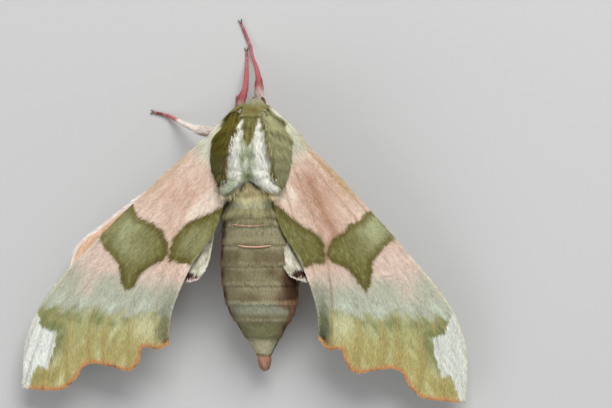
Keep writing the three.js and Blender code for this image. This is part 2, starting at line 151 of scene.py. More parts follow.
# Paths of the left feeler, the left palp and the legs: [x, y, z, radius].
ANTENNA_PATH = [
    (0.95, -5.98, 7.6, 0.25), (1.9, -5.45, 7.75, 0.29), (3.1, -4.3, 7.55, 0.29),
    (4.35, -3.05, 7.3, 0.28), (5.3, -1.2, 6.9, 0.27), (6.1, 1.1, 6.5, 0.26), (6.6, 2.6, 6.3, 0.25),
]
PALP_PATH = [(0.42, -5.75, 4.35, 0.27), (0.46, -6.25, 4.75, 0.34), (0.5, -6.75, 5.35, 0.2)]
LEG_PATHS = {
    "foreleg_left": [
        (1.1, -3.1, 3.4, 0.6), (1.6, -4.6, 3.0, 0.62), (2.05, -6.2, 3.3, 0.55), (1.6, -7.8, 2.75, 0.42),
        (1.62, -9.8, 1.5, 0.33), (1.72, -10.8, 0.65, 0.26), (1.78, -11.5, 0.19, 0.25), (1.82, -12.2, 0.17, 0.24),
    ],
    "foreleg_right": [
        (-1.1, -3.1, 3.4, 0.6), (-0.75, -4.9, 3.0, 0.62), (-0.05, -7.1, 3.2, 0.5), (0.1, -8.9, 2.7, 0.4),
        (0.5, -10.3, 1.95, 0.33), (1.0, -11.4, 1.1, 0.26), (1.32, -12.6, 0.4, 0.25), (1.8, -13.7, 0.19, 0.25),
        (2.44, -15.3, 0.17, 0.24),
    ],
    "midleg_left": [
        (1.6, -1.7, 2.9, 0.65), (3.4, -2.8, 3.3, 0.68), (5.85, -3.2, 4.2, 0.5), (7.4, -3.65, 3.1, 0.42),
        (9.1, -4.35, 1.3, 0.34), (10.3, -4.95, 0.45, 0.27), (11.3, -5.25, 0.19, 0.25), (12.2, -5.45, 0.17, 0.24),
    ],
    "midleg_right": [
        (-1.6, -1.7, 2.9, 0.65), (-3.4, -1.7, 3.3, 0.68), (-5.2, -0.7, 4.2, 0.5), (-6.6, 1.0, 2.9, 0.42),
        (-7.7, 2.7, 1.3, 0.34), (-8.3, 3.7, 0.45, 0.27), (-8.8, 4.5, 0.19, 0.25), (-9.3, 5.3, 0.17, 0.24),
    ],
    "hindleg_left": [
        (1.6, 1.0, 2.8, 0.65), (3.3, 2.0, 3.2, 0.68), (5.6, 3.4, 4.3, 0.52), (6.9, 5.6, 3.1, 0.43),
        (8.0, 7.9, 1.3, 0.35), (8.5, 9.1, 0.45, 0.28), (8.9, 10.0, 0.19, 0.25), (9.3, 11, 0.17, 0.24),
    ],
    "hindleg_right": [
        (-1.6, 1.0, 2.8, 0.65), (-3.3, 2.0, 3.2, 0.68), (-5.7, 3.3, 4.3, 0.52), (-7.0, 5.6, 3.1, 0.43),
        (-8.2, 8.0, 1.3, 0.35), (-8.7, 9.3, 0.45, 0.28), (-9.1, 10.3, 0.19, 0.25), (-9.5, 11.4, 0.17, 0.24),
    ],
}

# Joints and scales of a feeler, and the share of its length where its end starts to taper.
FEELER_JOINTS = 46
FEELER_SCALES = 2600
FEELER_END = 0.94

# ---------------------------------------------------------------- curves, distances and soft noise


def row_at(rows, t):
    """The row at each share t of a smooth run through all rows."""
    rows = np.asarray(rows, float)
    last = len(rows) - 1
    place = np.clip(np.asarray(t, float), 0, 1) * last
    index = np.minimum(place.astype(int), last - 1)
    s = (place - index)[..., None]
    before, start, end, after = (rows[np.clip(index + k, 0, last)] for k in (-1, 0, 1, 2))
    leave, arrive = (end - before) / 2, (after - start) / 2
    cubic = 2 * start - 2 * end + leave + arrive
    square = -3 * start + 3 * end - 2 * leave - arrive
    return ((cubic * s + square) * s + leave) * s + start


def ramp(value, low, high):
    """A soft step from 0 at low to 1 at high; low may be above high."""
    t = np.clip((np.asarray(value, float) - low) / (high - low), 0, 1)
    return t * t * (3 - 2 * t)


def hump(value, centre, width):
    """A soft bump of height 1 at the centre."""
    return np.exp(-(((np.asarray(value, float) - centre) / width) ** 2))


def line_distance(points, line):
    """Distance of plan points from a broken line."""
    best = np.full(len(points), np.inf)
    for a, b in zip(np.asarray(line, float)[:-1], np.asarray(line, float)[1:]):
        run = b - a
        t = np.clip(((points - a) @ run) / max(run @ run, 1e-9), 0, 1)
        best = np.minimum(best, np.hypot(*(points - a - t[:, None] * run).T))
    return best


def depth_inside(points, outline):
    """How deep plan points lie inside an outline; outside it the depth is negative."""
    corners = np.asarray(outline, float)
    x, y = points.T
    inside = np.zeros(len(points), bool)
    for (ax, ay), (bx, by) in zip(corners, np.roll(corners, -1, axis=0)):
        crosses = (ay > y) != (by > y)
        inside ^= crosses & (x < (bx - ax) * (y - ay) / (by - ay + 1e-12) + ax)
    distance = line_distance(points, np.vstack([corners, corners[:1]]))
    return np.where(inside, distance, -distance)


def wobble(points, size, seed):
    """Soft noise from -1 to 1 over points, with features of about that size."""
    points = np.atleast_2d(np.asarray(points, float))
    rng = np.random.default_rng(seed)
    total = np.zeros(len(points))
    for _ in range(7):
        way = rng.normal(size=points.shape[1])
        way *= rng.uniform(0.7, 1.6) / np.linalg.norm(way)
        total += np.sin(points @ way * (math.tau / size / 1.6) + rng.uniform(0, math.tau))
    return total / 3.2


def unit(vectors):
    return vectors / np.maximum(np.linalg.norm(vectors, axis=-1, keepdims=True), 1e-9)


def eye_spot(sign):
    """The middle of one side's eye."""
    return np.array([sign * EYE_PLACE[0] + HEAD_SHIFT, EYE_PLACE[1], EYE_PLACE[2]])


def eye_distance(points):
    """How far points lie from the middle of the nearer eye."""
    return np.min([np.linalg.norm(points - eye_spot(sign), axis=1) for sign in SIDES.values()], axis=0)


def mirrored(path, sign, shift=0.0):
    """A path of the moth's left side, on the side of that sign."""
    return [(sign * x + shift, y, z, radius) for x, y, z, radius in path]


# ---------------------------------------------------------------- wings as surfaces


def wing_plan(wing, u, v):
    """Plan points of a wing: u runs from root to outer edge, v from front edge to rear edge."""
    u, v = np.broadcast_arrays(np.asarray(u, float), np.asarray(v, float))
    costa, inner = np.array(wing["costa"], float), np.array(wing["inner"], float)
    share, depth = np.moveaxis(row_at(wing["scallops"], v), -1, 0)
    u, v, share, depth = (a[..., None] for a in (u, v, share, depth))
    run = inner[-1] - costa[-1]
    outward = np.array([run[1], -run[0]]) / np.linalg.norm(run)
    edge = costa[-1] + run * share + outward * depth
    root = costa[0] + (inner[0] - costa[0]) * v
    between = (1 - v) * row_at(costa, u[..., 0]) + v * row_at(inner, u[..., 0]) + (1 - u) * root + u * edge
    corners = (1 - u) * ((1 - v) * costa[0] + v * inner[0]) + u * ((1 - v) * costa[-1] + v * inner[-1])
    return between - corners


def forewing(side):
    return dict(costa=FOREWING_FRONT + WING_SET[side]["tip"], inner=FOREWING_REAR, scallops=SCALLOPS[side])


def hindwing(side):
    front, edge, lobe = (WING_SET[side][f"hind_{part}"] for part in ("front", "edge", "lobe"))
    return dict(
        costa=[(2, 1.2), (5, -1.6), (10, front), (15.4, edge + 0.7), (18.8, edge), (21.4, edge + 1)],
        inner=[(2.8, 3.4), (6.8, 5.3 + lobe), (10.4, 7.3 + lobe), (12.5, 7.6 + lobe)],
        scallops=HINDWING_SCALLOPS,
    )


class Wing:
    """One wing's surface: its plan, its height over the floor, and the relief of its veins."""

    def __init__(self, side, hind):
        self.side, self.hind = side, hind
        self.shape = hindwing(side) if hind else forewing(side)
        self.drop = HINDWING_DROP if hind else 0.0
        self.thickness = 0.13 if hind else 0.17
        self.outer = wing_plan(self.shape, 1.0, np.linspace(0, 1, 140))
        self.front = wing_plan(self.shape, np.linspace(0, 1, 60), 0.0)
        self.rear = wing_plan(self.shape, np.linspace(0, 1, 60), 1.0)
        self.hinge, self.scale = WING_SET[side]["hinge"], WING_SET[side]["scale"]
        sweep = math.radians(WING_SET[side]["sweep"])
        self.sin, self.cos = math.sin(sweep), math.cos(sweep)

    def relief(self, plan):
        if self.hind:
            _, v = self.shares(plan)
            return np.cos(v * math.tau * 9) * 0.07 * ramp(v, 0.45, 0.75) + 0.03 * wobble(plan, 4, 31)
        along = plan[:, 0]
        to_vein = self.vein_distance(plan)
        strength = 0.4 + 0.6 * ramp(along, 9, 20)
        furrow = 0.05 * np.sin(np.clip(to_vein / 1.1, 0, 1) * math.pi) * ramp(along, 16, 25)
        return 0.07 * hump(to_vein, 0, 0.2) * strength - furrow + 0.05 * wobble(plan, 6, 32)

    def vein_distance(self, plan):
        lines = [row_at(vein, np.linspace(0, 1, 9)) for vein in FOREWING_VEINS]
        return np.min([line_distance(plan, line) for line in lines], axis=0)

    def edge_distances(self, plan):
        """Distances to the front, rear and outer edges."""
        return (line_distance(plan, edge) for edge in (self.front, self.rear, self.outer))

    def shares(self, plan):
        """Rough u and v of plan points, from their distances to the edges."""
        to_front, to_rear, to_outer = self.edge_distances(plan)
        to_root = np.linalg.norm(plan - self.front[0], axis=1)
        return to_root / (to_root + to_outer), to_front / np.maximum(to_front + to_rear, 1e-6)

    def height(self, plan):
        along, back = plan.T
        out = np.maximum(along, 0)
        smooth = 9.6 - 0.105 * out + 0.08 * back - 2.4 * (out / WING_LENGTH) ** 2 - 0.02 * (back - 3) ** 2
        smooth = smooth - 1.3 * ramp(along + 0.3 * back, 2.2, -1.6)
        if self.hind:  # the inner lobe rides up over the abdomen's flank
            smooth = smooth + (0.75 if self.side == "right" else 0.35) * ramp(back, 5.6, 7.4)
        return smooth - self.drop + self.relief(plan)

    def half_thickness(self, plan):
        """Half the plate's thickness, which grows along the stout front edge and thins to the outer one."""
        stout = 1 + 0.9 * hump(line_distance(plan, self.front), 0, 0.55)
        return self.thickness / 2 * stout * (0.55 + 0.45 * ramp(line_distance(plan, self.outer), 0, 1.5))

    def place(self, plan, height):
        along, back = plan.T
        outwards = self.hinge[0] + self.scale * (along * self.sin - back * self.cos)
        rearwards = self.hinge[1] + self.scale * (along * self.cos + back * self.sin)
        return np.stack([SIDES[self.side] * outwards, rearwards, height], axis=1)

    def surface(self, plan, above=0.0):
        """Places on the wing's middle surface, or above it."""
        return self.place(plan, self.height(plan) + above)

    def plan_of(self, points):
        outwards = (SIDES[self.side] * points[:, 0] - self.hinge[0]) / self.scale
        rearwards = (points[:, 1] - self.hinge[1]) / self.scale
        along = outwards * self.sin + rearwards * self.cos
        return np.stack([along, rearwards * self.sin - outwards * self.cos], axis=1)

    def map_place(self, plan, under):
        """The wing's flat unwrap: the top fills one half of the map and the underside the other."""
        if self.hind:
            u, v = (plan[:, 0] - 1) / 23, (plan[:, 1] + 7) / 17
        else:
            u, v = (plan[:, 0] + 2.5) / 39, (plan[:, 1] + 6) / 18
        return np.stack([0.01 + 0.98 * u, 0.01 + 0.48 * v + np.where(under, 0.5, 0)], axis=1)


# ---------------------------------------------------------------- markings, with their painted light and shade


def forewing_marks(wing, plan):
    """Masks for the upper side of a forewing; the two sides differ where the moth's own pattern does, and in their
    painted shade.
    """
    def by_side(left, right):
        return left if wing.side == "left" else right

    def around(spot, size):
        return hump(np.linalg.norm(plan - spot, axis=1), 0, size)

    along, back = plan.T
    rough = plan + 0.07 * np.stack([wobble(plan, 0.8, 41), wobble(plan, 0.8, 42)], axis=1)
    streak = wobble(plan * (0.28, 1.5), 1.1, 50)
    to_front, to_rear, to_edge = wing.edge_distances(plan)
    to_vein = wing.vein_distance(plan)
    to_corner = np.linalg.norm((plan - wing.rear[-1]) * (0.55, 1), axis=1)
    to_fold = line_distance(plan, [(12.6, 3.1), (15.5, 4.7), (18.0, 6.1)])
    outer_depth = depth_inside(rough, OUTER_LINE + [(30, 14), (45, 5), (40, -8)])
    outer = ramp(outer_depth + 0.45 * streak, -0.75, 0.65)
    blotch = np.maximum(*(depth_inside(rough, outline[wing.side]) for outline in (COSTAL_BLOTCH, DORSAL_BLOTCH)))
    lightness = np.maximum(
        around(by_side((13.7, -1.0), (13.5, -2.2)), 2.3), by_side(0.45, 0.1) * around((9.4, 4.7), 2.2))
    apex = depth_inside(rough, APEX_PATCH[wing.side])
    tornal = depth_inside(rough, TORNAL_PATCH)
    beyond = ramp(along + 0.25 * back, 14.2, 17.8)
    warm_line = back - 0.15 * along + 0.4
    return dict(
        rose=ramp(wobble(plan, 5, 43) + 0.4 * wobble(plan, 1.6, 44), -0.4, 0.9) * (1 - beyond),
        rose_deep=by_side(0.15, 0.85) * ramp(along, 2.6, 5.4) * (1 - 0.6 * beyond) * (
            0.55 * hump(warm_line, 0, 2.2) + 0.5 * hump(warm_line + 0.15 * streak, 0, 0.55)),
        base_pale=ramp(line_distance(plan, [(4.2, 3.5), (by_side(7.6, 5.4), 3.1)]), 1.5, 0.5),
        root_pale=ramp(along, 3.4, 0.8),
        front_tint=ramp(back + 0.04 * along, -0.9, -2.4) * ramp(along, 12, 7) * by_side(0.5, 1),
        vein_shade=by_side(0.25, 0.6) * hump(to_vein, 0, 0.16) * ramp(along, 2, 4) * (1 - outer),
        lilac=beyond,
        grey_green=beyond * ramp(outer_depth + 0.9 * wobble(plan, 3, 53), -5.6, -2.0),
        mint=ramp(outer_depth, -2.2, -0.9) * (1 - outer) * ramp(wobble(plan * (0.6, 1.2), 1.5, 45), -0.3, 0.9),
        outer=outer,
        # dark patches of the outer field, and painted shadow beside its veins
        outer_dark_and_vein_shadow=outer * np.maximum(
            np.maximum(ramp(outer_depth, 2.1, 0.2), ramp(-apex, 1.9, 0.5))
            * ramp(wobble(plan, 1.8, 46) + 0.6 * ramp(back, 3, -2), -0.9, 0.5),
            by_side(0.2, 0.5) * hump(to_vein, 0.34, 0.2)),
        outer_warm=0.7 * outer * ramp(to_edge, 5.0, 1.0),
        outer_pale=outer * np.maximum(
            by_side(0.65, 0.4) * ramp(to_vein, 0.25, 0.8) * ramp(streak + 0.5 * wobble(plan, 3, 47), -0.3, 1.1),
            0.8 * around((20.2, 6.6), 1.7)),
        vein=by_side(0.65, 0.85) * outer * hump(to_vein, 0, 0.13) * (1 - ramp(apex, -0.2, 0.1)),
        vein_dark=beyond * (1 - outer) * hump(to_fold, 0, 0.13) * by_side(0.35, 1.0),
        tornal=ramp(tornal + 0.25 * streak, -0.7, 0.5) * ramp(to_edge, 0.15, 0.5)
        * (0.4 + 0.6 * ramp(along, 15.5, 19)) * by_side(0.78, 1),
        tornal_dark=ramp(to_corner + 0.2 * streak, by_side(0.75, 1.5), 0.35) * ramp(to_edge, 0.15, 0.4),
        blotch=ramp(blotch, -0.05, 0.09),
        blotch_light=np.maximum(
            ramp(blotch, 0.1, 1.2) * lightness * ramp(wobble(plan, 4, 48), -1.8, 0.2),
            0.32 * ramp(blotch, 0.1, 0.4) * ramp(wobble(plan, 0.45, 54), 0.1, 0.9)),
        blotch_rim=0.85 * hump(blotch, 0.25, 0.3) * ramp(back, -2.5, 0.5),
        apex=ramp(apex, -0.05, 0.12),
        # darker along the veins inside the white apex; on the right wing the whole apex also gets painted shade
        apex_shade=ramp(apex, 0.0, 0.3) * np.maximum(hump(to_vein, 0, 0.16), by_side(0, 0.7)),
        rim=ramp(to_edge, 0.44, 0.2) * (1 - 0.85 * ramp(apex, -0.3, 0.2)),
        rim_dark=ramp(to_edge, 0.15, 0.05) * ramp(wobble(plan, 1.2, 49), -0.6, 0.8),
        rear_rim=np.maximum(
            0.3 * ramp(to_rear, 0.22, 0.08) * ramp(along, 9, 12),
            0.6 * ramp(to_front, 0.3, 0.1) * ramp(along, 14, 19)),
    )


def hindwing_marks(wing, plan):
    """Masks for the upper side of a hindwing, with a painted shadow by its inner corner."""
    to_front, to_rear, to_outer = wing.edge_distances(plan)
    corner = np.array(wing.shape["inner"][-1])
    spot_line = [corner + (0.75, -1.6), corner + (0.3, -0.2)]
    cream = ramp(to_rear, 3.4, 2.2) * ramp(plan[:, 0], 6, 8)
    return dict(
        peach=ramp(to_front, 3.4, 2.2),
        front_white=ramp(to_front, 0.42, 0.22),
        band=hump(to_outer, 5.0, 1.8) * ramp(to_front, 2.4, 4),
        cream=cream,
        cream_shade=cream * hump(wobble(plan * (0.3, 1), 0.8, 51), 0, 0.35),
        # painted shadow: a dark streak by the inner corner, where the folded lobe ends
        spot=ramp(line_distance(plan, spot_line) + 0.12 * wobble(plan, 0.8, 52), 0.55, 0.36),
        spot_rim=cream * ramp(to_outer, 0.16, 0.1),
    )


def underside_marks(wing, plan):
    """Masks for the under side of any wing."""
    reach = plan[:, 0] + 0.35 * plan[:, 1]
    if wing.hind:
        veins = 0.4 * hump(np.cos(wing.shares(plan)[1] * math.tau * 7), 1, 0.1)
    else:
        veins = 0.6 * hump(wing.vein_distance(plan), 0, 0.18)
    return dict(
        under=np.ones(len(plan)),
        under_grey=ramp(reach, 5, 11) * ramp(reach, 19, 15) * ramp(wobble(plan, 4, 61), -1, 0.4),
        under_olive=ramp(reach, 16, 22),
        under_line=hump(reach + 0.5 * wobble(plan, 5, 62), 17, 0.5),
        under_vein=veins,
        rim=ramp(line_distance(plan, wing.outer), 0.4, 0.2),
    )


def abdomen_frame(points):
    """Abdomen row under each point: its centre, half width, and the point's share up (+1) or down (-1)."""
    table = row_at(ABDOMEN_ROWS, np.linspace(0, 1, 200))
    row = np.stack([np.interp(points[:, 1], table[:, 0], table[:, k]) for k in range(6)], axis=1)
    across = (points[:, 0] - row[:, 1]) / row[:, 3]
    rise = points[:, 2] - row[:, 2]
    rise = np.where(rise > 0, rise / row[:, 4], rise / row[:, 5])
    return row, np.sin(np.arctan2(rise, across)), across


def ring_phase(y):
    """Share of the way through each abdominal ring, from its front edge to its rear edge."""
    index = np.clip(np.searchsorted(RING_EDGES, y) - 1, 0, len(RING_EDGES) - 2)
    edges = np.array(RING_EDGES)
    return np.clip((y - edges[index]) / (edges[index + 1] - edges[index]), 0, 1)


# The pair of white tufts that end the back's white bands, seen from above.
WHITE_TUFTS = {
    "left": [(2.8, 1.0), (0.9, 1.4), (0.4, 1.95), (1.25, 2.95), (2.45, 3.75), (3.05, 3.1), (2.95, 1.9)],
    "right": [
        (0.05, 1.4), (-1.1, 0.5), (-2.2, 0.5), (-2.7, 1.65), (-3.1, 2.95), (-2.6, 3.65), (-1.5, 3.05), (-0.3, 2.1),
    ],
}

BODY_REGIONS = [
    "head", "collar", "thorax", "tegula_left", "tegula_right", "abdomen", "anal_tuft", "palp_left", "palp_right",
    *LEG_PATHS,
]
# For each pair of legs: where its rose starts and is full, where its dark does so, and how dark that is.
LEG_COLOURS = {
    "foreleg": ((0.22, 0.34), (0.8, 0.98), 0.35), "midleg": ((0.56, 0.64), (0.72, 0.88), 1),
    "hindleg": ((0.56, 0.68), (0.8, 0.95), 0.5),
}
REGION = {name: index for index, name in enumerate(BODY_REGIONS)}


def on(region, *names):
    """1 where points lie on one of the named regions, 0 elsewhere."""
    return np.isin(region, [REGION[name] for name in names]).astype(float)


def leg_place(points, name):
    """Share along a leg, its heading and its row [x, y, z, radius], all at the nearest place of its path."""
    shares = np.linspace(0, 1, 90)
    path = row_at(LEG_PATHS[name], shares)
    away = np.linalg.norm(points[:, None, :] - path[None, :, :3], axis=2)
    nearest = away.argmin(axis=1)
    heading = unit(np.gradient(path[:, :3], axis=0))
    return shares[nearest], heading[nearest], path[nearest]


def legs_among(points, region):
    """For each leg that has points: its name, which points they are, and their places along it."""
    for name in LEG_PATHS:
        here = region == REGION[name]
        if here.any():
            yield name, here, *leg_place(points[here], name)


def body_marks(points, region):
    """Masks for the body and legs, from places on the moth's axes and the region of each."""
    x, y, z = points.T
    flat = points[:, :2]
    ragged = 0.14 * wobble(points, 0.8, 71)
    is_head, is_thorax, is_abdomen = (on(region, name) for name in ("head", "thorax", "abdomen"))
    is_tegula, is_palp = on(region, "tegula_left", "tegula_right"), on(region, "palp_left", "palp_right")

    # abdomen
    _, up, _ = abdomen_frame(points)
    phase = ring_phase(y + 0.05 * wobble(flat, 1.5, 72))
    on_top = ramp(up, 0.15, 0.45) * is_abdomen
    rise = up + 0.08 * wobble(points, 1.2, 75) - 0.28 * ramp(x, -0.5, -2) * ramp(y, 8, 12) * ramp(y, 17, 15.2)
    flank = ramp(rise, 0.62, 0.3) * is_abdomen
    # painted shadow of the right wings on the upper part of the abdomen's right flank
    shaded = 0.9 * ramp(x, 0, -1) * ramp(y, 9, 11.5) * ramp(y, 15.5, 14.9) * ramp(up, 0.1, 0.3)
    marks = dict(
        abdomen=is_abdomen,
        ring_dark=on_top * ramp(phase, -0.1, 0.55) * ramp(phase, 1.05, 0.9) * (0.75 + 0.25 * wobble(flat, 2, 73))
        * (0.3 + 0.7 * ramp(y, 8.8, 9.6)) * (1 + 0.5 * hump(y, 10.9, 1)) * (1 - 0.55 * hump(y, 13.7, 0.8)),
        ring_green=on_top * ramp(phase, 0.05, 0.2) * ramp(phase, 0.5, 0.3) * ramp(y, 12, 8),
        ring_pale=on_top * ramp(phase, 0.86, 0.94) * (0.22 * ramp(y, 8, 10.5) + 0.7 * hump(y, 15.3, 0.4)),
        ring_blue=on_top * ramp(y, 15.2, 15.6) * ramp(y, 17.0, 16.2),
        rear_green=on_top * ramp(y, 17, 18.2),
        ring_shadow=0.8 * on_top * ramp(np.abs(x + 0.25), 2.4, 1.6)
        * np.maximum(hump(y, 6.72, 0.12), 0.5 * hump(y, 8.9, 0.12)),
        flank=flank,
        # dark spots on each ring's flank, and the painted wing shadow on the right flank
        flank_spot_and_wing_shadow=flank * np.maximum(ramp(up, -0.25, 0.1) * hump(phase, 0.5, 0.28) * 0.8, shaded),
        flank_warm=0.7 * flank * ramp(x, 0, -1) * ramp(y, 14.9, 15.6) * ramp(y, 18.4, 16.8),
        belly=ramp(up, -0.35, -0.7) * is_abdomen,
        tail_pale=on_top * ramp(y, 19.0, 19.8),
        tail=on(region, "anal_tuft") * ramp(y, 20.9, 21.4),
    )

    # thorax
    side_x = np.abs(x + 0.04)
    inside_edge = np.interp(y, [-5.2, -3.4, -0.8, 2.1, 4], [0.9, 1.6, 2.5, 3.0, 3.1]) - side_x
    high = ramp(z, 8.6, 9.4)
    tufts = -np.maximum(*(depth_inside(flat, outline) for outline in WHITE_TUFTS.values()))
    on_back = on(region, "thorax", "collar") * high
    stripe = np.interp(
        y, [-5, -4.3, -3.3, -2.4, -1.7, -1.0, 1.0, 1.6, 2.4], [1.2, 0.85, 0.62, 0.48, 0.25, -0.2, -0.2, 0.15, 0.5])
    bands = ramp(side_x + ragged, stripe - 0.08, stripe + 0.16) * ramp(y, -4.9, -4.3)
    bands *= ramp(inside_edge, -0.25, 0.1) * ramp(y + 0.5 * side_x, 3.2, 2.6)
    on_tuft = ramp(tufts + 0.5 * ragged, 0.1 + 0.35 * ramp(z, 10.6, 10.85), -0.12)
    white = np.maximum(on_back * bands, is_thorax * on_tuft * ramp(z, 9, 9.6))
    tegula_edge = np.interp(y, [-4.6, -2.7, 0.6, 2.1], [1.07, 1.8, 2.45, 2.75])
    rump = is_thorax * ramp(y - 0.45 * side_x, 1.6, 2.1) * high
    rump_end = np.maximum(is_thorax, is_abdomen * ramp(y, 5.9, 5.5))
    marks.update(
        breast=on(region, "thorax", "collar", "tegula_left", "tegula_right")
        * ramp(z + 0.3 * wobble(points, 2, 76), 7.6, 6.6),
        tegula=is_tegula * (1 - ramp(z, 8.2, 7.2)),
        tegula_rear=is_tegula * ramp(y + 0.4 * wobble(points, 1.5, 77), -1.4, 1.2) * ramp(z, 7.2, 8),
        # painted light: the tegula on the moth's right is painted paler, as if lit from that side, while the left one
        # keeps the darker base
        tegula_light=is_tegula * ramp(x, 1, -1) * 0.88,
        tegula_inner=0.45 * is_tegula * hump(side_x, tegula_edge, 0.22) * ramp(y, -4.6, -3.6),
        tegula_outer=is_tegula * ramp(z + 0.2 * wobble(points, 1, 78), 9.1, 8.2),
        rump=rump,
        rump_ochre=0.4 * rump * ramp(side_x, 1.3, 0.5) * ramp(y, 4.4, 3.6),
        mint_band=rump_end * hump(y + ragged, 4.95, 0.42) * ramp(z, 8.2, 9) * ramp(y, 4.1, 4.5),
        waist=0.9 * np.maximum(is_thorax, is_abdomen) * ramp(y, 5.05, 5.35) * ramp(y, 7.0, 6.2) * ramp(z, 6.5, 8),
        # painted shadow in the gap under the place where the two white tufts meet
        gap=is_thorax * high * hump(tufts, 0.3, 0.3) * ramp(side_x, 1.5, 0.7) * ramp(y, 1.7, 2.1),
        white=white,
        blush=0.8 * white * ramp(inside_edge, 0.75, 0.1) * ramp(wobble(flat, 1.6, 79), -0.7, 0.5),
        # grey-green down the middle of the white bands, and painted shade over the white tuft on the moth's left
        sage=white * np.maximum(
            ramp(np.abs(x - 0.1), 1.0, 0.45) * ramp(y, -2.9, -1.8) * ramp(wobble(flat * (2, 0.7), 1.2, 80), -1.3, 0.2),
            0.7 * ramp(x, 1.0, 1.6) * ramp(y, 1.3, 2.2)),
        green_dot=is_thorax * high * hump(np.hypot(x - 0.15, (y - 1.7) * 1.2), 0, 0.45),
        stripe_dark=on_back * (1 - bands) * hump(np.abs(x - 0.1), 0.3, 0.14)
        * ramp(y, -4.4, -3.4) * ramp(y, -0.6, -1.6),
    )

    # head
    front = on(region, "head", "collar")
    marks.update(
        head=front,
        brow=front * hump(np.hypot((x + 0.15) * 1.3, (y + 5.3) * 1.2), 0, 0.55) * ramp(z, 7.4, 8.2) * 0.8,
        crown_pale=front * ramp(y, -5.65, -6.2),
        cheek=is_head * ramp(z + 0.2 * wobble(points, 0.8, 81), 6.4, 5.6),
        palp=is_palp,
        palp_tip=is_palp * ramp(z, 5.0, 5.5),
    )

    # legs
    marks.update({mark: np.zeros(len(points)) for mark in ("leg", "leg_rose", "leg_dark", "leg_pale")})
    for name, here, share, _, _ in legs_among(points, region):
        rose, dark, strength = LEG_COLOURS[name.split("_")[0]]
        marks["leg"][here] = 1
        marks["leg_rose"][here] = ramp(share, *rose)
        marks["leg_dark"][here] = strength * ramp(share, *dark)
        marks["leg_pale"][here] = hump(np.sin(share * math.tau * 6.5), 1, 0.25) * ramp(share, 0.62, 0.7) * 0.5
    return {name: np.clip(value, 0, 1) for name, value in marks.items()}


# ---------------------------------------------------------------- finishes


def shade(red, green, blue):
    """A colour by its screen values, 0 to 255."""
    return (*((c / 255 / 12.92 if c < 11 else ((c / 255 + 0.055) / 1.055) ** 2.4) for c in (red, green, blue)), 1)


WING_LAYERS = dict(
    rose=(208, 177, 158), rose_deep=(168, 126, 100), root_pale=(203, 203, 180), base_pale=(228, 210, 192),
    front_tint=(186, 160, 122), vein_shade=(176, 138, 112), lilac=(213, 190, 174), grey_green=(176, 178, 158),
    # the dark olive (124, 130, 86) serves the outer field's dark patches and the painted shadow beside its veins
    mint=(188, 194, 176), outer=(172, 170, 119), outer_dark_and_vein_shadow=(124, 130, 86), outer_warm=(176, 159, 98),
    outer_pale=(202, 201, 160), vein=(174, 152, 96), vein_dark=(150, 130, 104), tornal=(98, 102, 76),
    tornal_dark=(52, 50, 40), blotch=(110, 105, 57), blotch_light=(168, 170, 129), blotch_rim=(96, 86, 44),
    # the grey apex colour (198, 200, 188) also serves as painted shade over the right wing's apex
    apex=(226, 229, 221), apex_shade=(198, 200, 188), peach=(220, 180, 148), front_white=(228, 216, 206),
    # the dark brown (66, 42, 38) is painted shadow at the end of a hindwing's inner lobe
    band=(140, 128, 84), cream=(225, 220, 204), cream_shade=(180, 177, 152), spot=(66, 42, 38),
    spot_rim=(226, 206, 196), under=(206, 176, 150), under_grey=(176, 166, 136), under_olive=(168, 160, 106),
    under_line=(124, 116, 74), under_vein=(176, 146, 104), rear_rim=(206, 202, 178), rim=(194, 142, 92),
    rim_dark=(140, 98, 68),
)
BODY_LAYERS = dict(
    abdomen=(158, 150, 118), ring_green=(170, 166, 134), ring_dark=(118, 108, 80), ring_pale=(170, 162, 132),
    # the dark brown (70, 47, 32) serves the flank spots and the painted wing shadow
    ring_blue=(154, 154, 132), rear_green=(130, 128, 92), flank=(140, 116, 92), flank_spot_and_wing_shadow=(70, 47, 32),
    flank_warm=(156, 118, 88), belly=(206, 176, 152), ring_rosy=(212, 164, 144), ring_shadow=(92, 80, 52),
    tail_pale=(190, 182, 150), tail=(182, 140, 116), rump=(218, 207, 160), rump_ochre=(200, 174, 122),
    # the dark brown (70, 60, 36) is painted shadow under the white tufts
    mint_band=(180, 184, 156), waist=(150, 143, 106), gap=(70, 60, 36), stripe_dark=(110, 102, 56),
    head=(134, 128, 80), brow=(121, 90, 52), crown_pale=(152, 149, 119), tegula=(103, 94, 39),
    # the paler tegula colour (168, 166, 124) is painted light on the tegula of the moth's right
    tegula_rear=(104, 98, 60), tegula_light=(168, 166, 124), tegula_inner=(132, 112, 62),
    # the sage colour (154, 162, 128) is the bands' grey-green and also painted shade on the left white tuft
    tegula_outer=(156, 158, 116), white=(228, 228, 216), sage=(154, 162, 128), blush=(222, 205, 190),
    green_dot=(130, 148, 92), breast=(210, 186, 164), cheek=(206, 188, 162), palp=(188, 148, 126),
    palp_tip=(158, 138, 96), leg=(240, 227, 216), leg_rose=(184, 102, 104), leg_dark=(138, 72, 70),
    leg_pale=(214, 168, 158), feeler=(226, 219, 203), feeler_under=(150, 110, 76),
)


def add_node(tree, kind, values=None, **settings):
    """A node with its settings and its input values; a value that is a socket is linked."""
    node = tree.nodes.new(kind)
    for key, value in settings.items():
        setattr(node, key, value)
    for key, value in (values or {}).items():
        if isinstance(value, bpy.types.NodeSocket):
            tree.links.new(value, node.inputs[key])
        else:
            node.inputs[key].default_value = value
    return node


def mix_colour(tree, factor, first, second, blend="MIX"):
    node = add_node(tree, "ShaderNodeMix", {0: factor, 6: first, 7: second}, data_type="RGBA", blend_type=blend)
    return node.outputs[2]


def remap(tree, value, low, high, new_low=0.0, new_high=1.0):
    node = add_node(tree, "ShaderNodeMapRange", {0: value, 1: low, 2: high, 3: new_low, 4: new_high})
    return node.outputs[0]


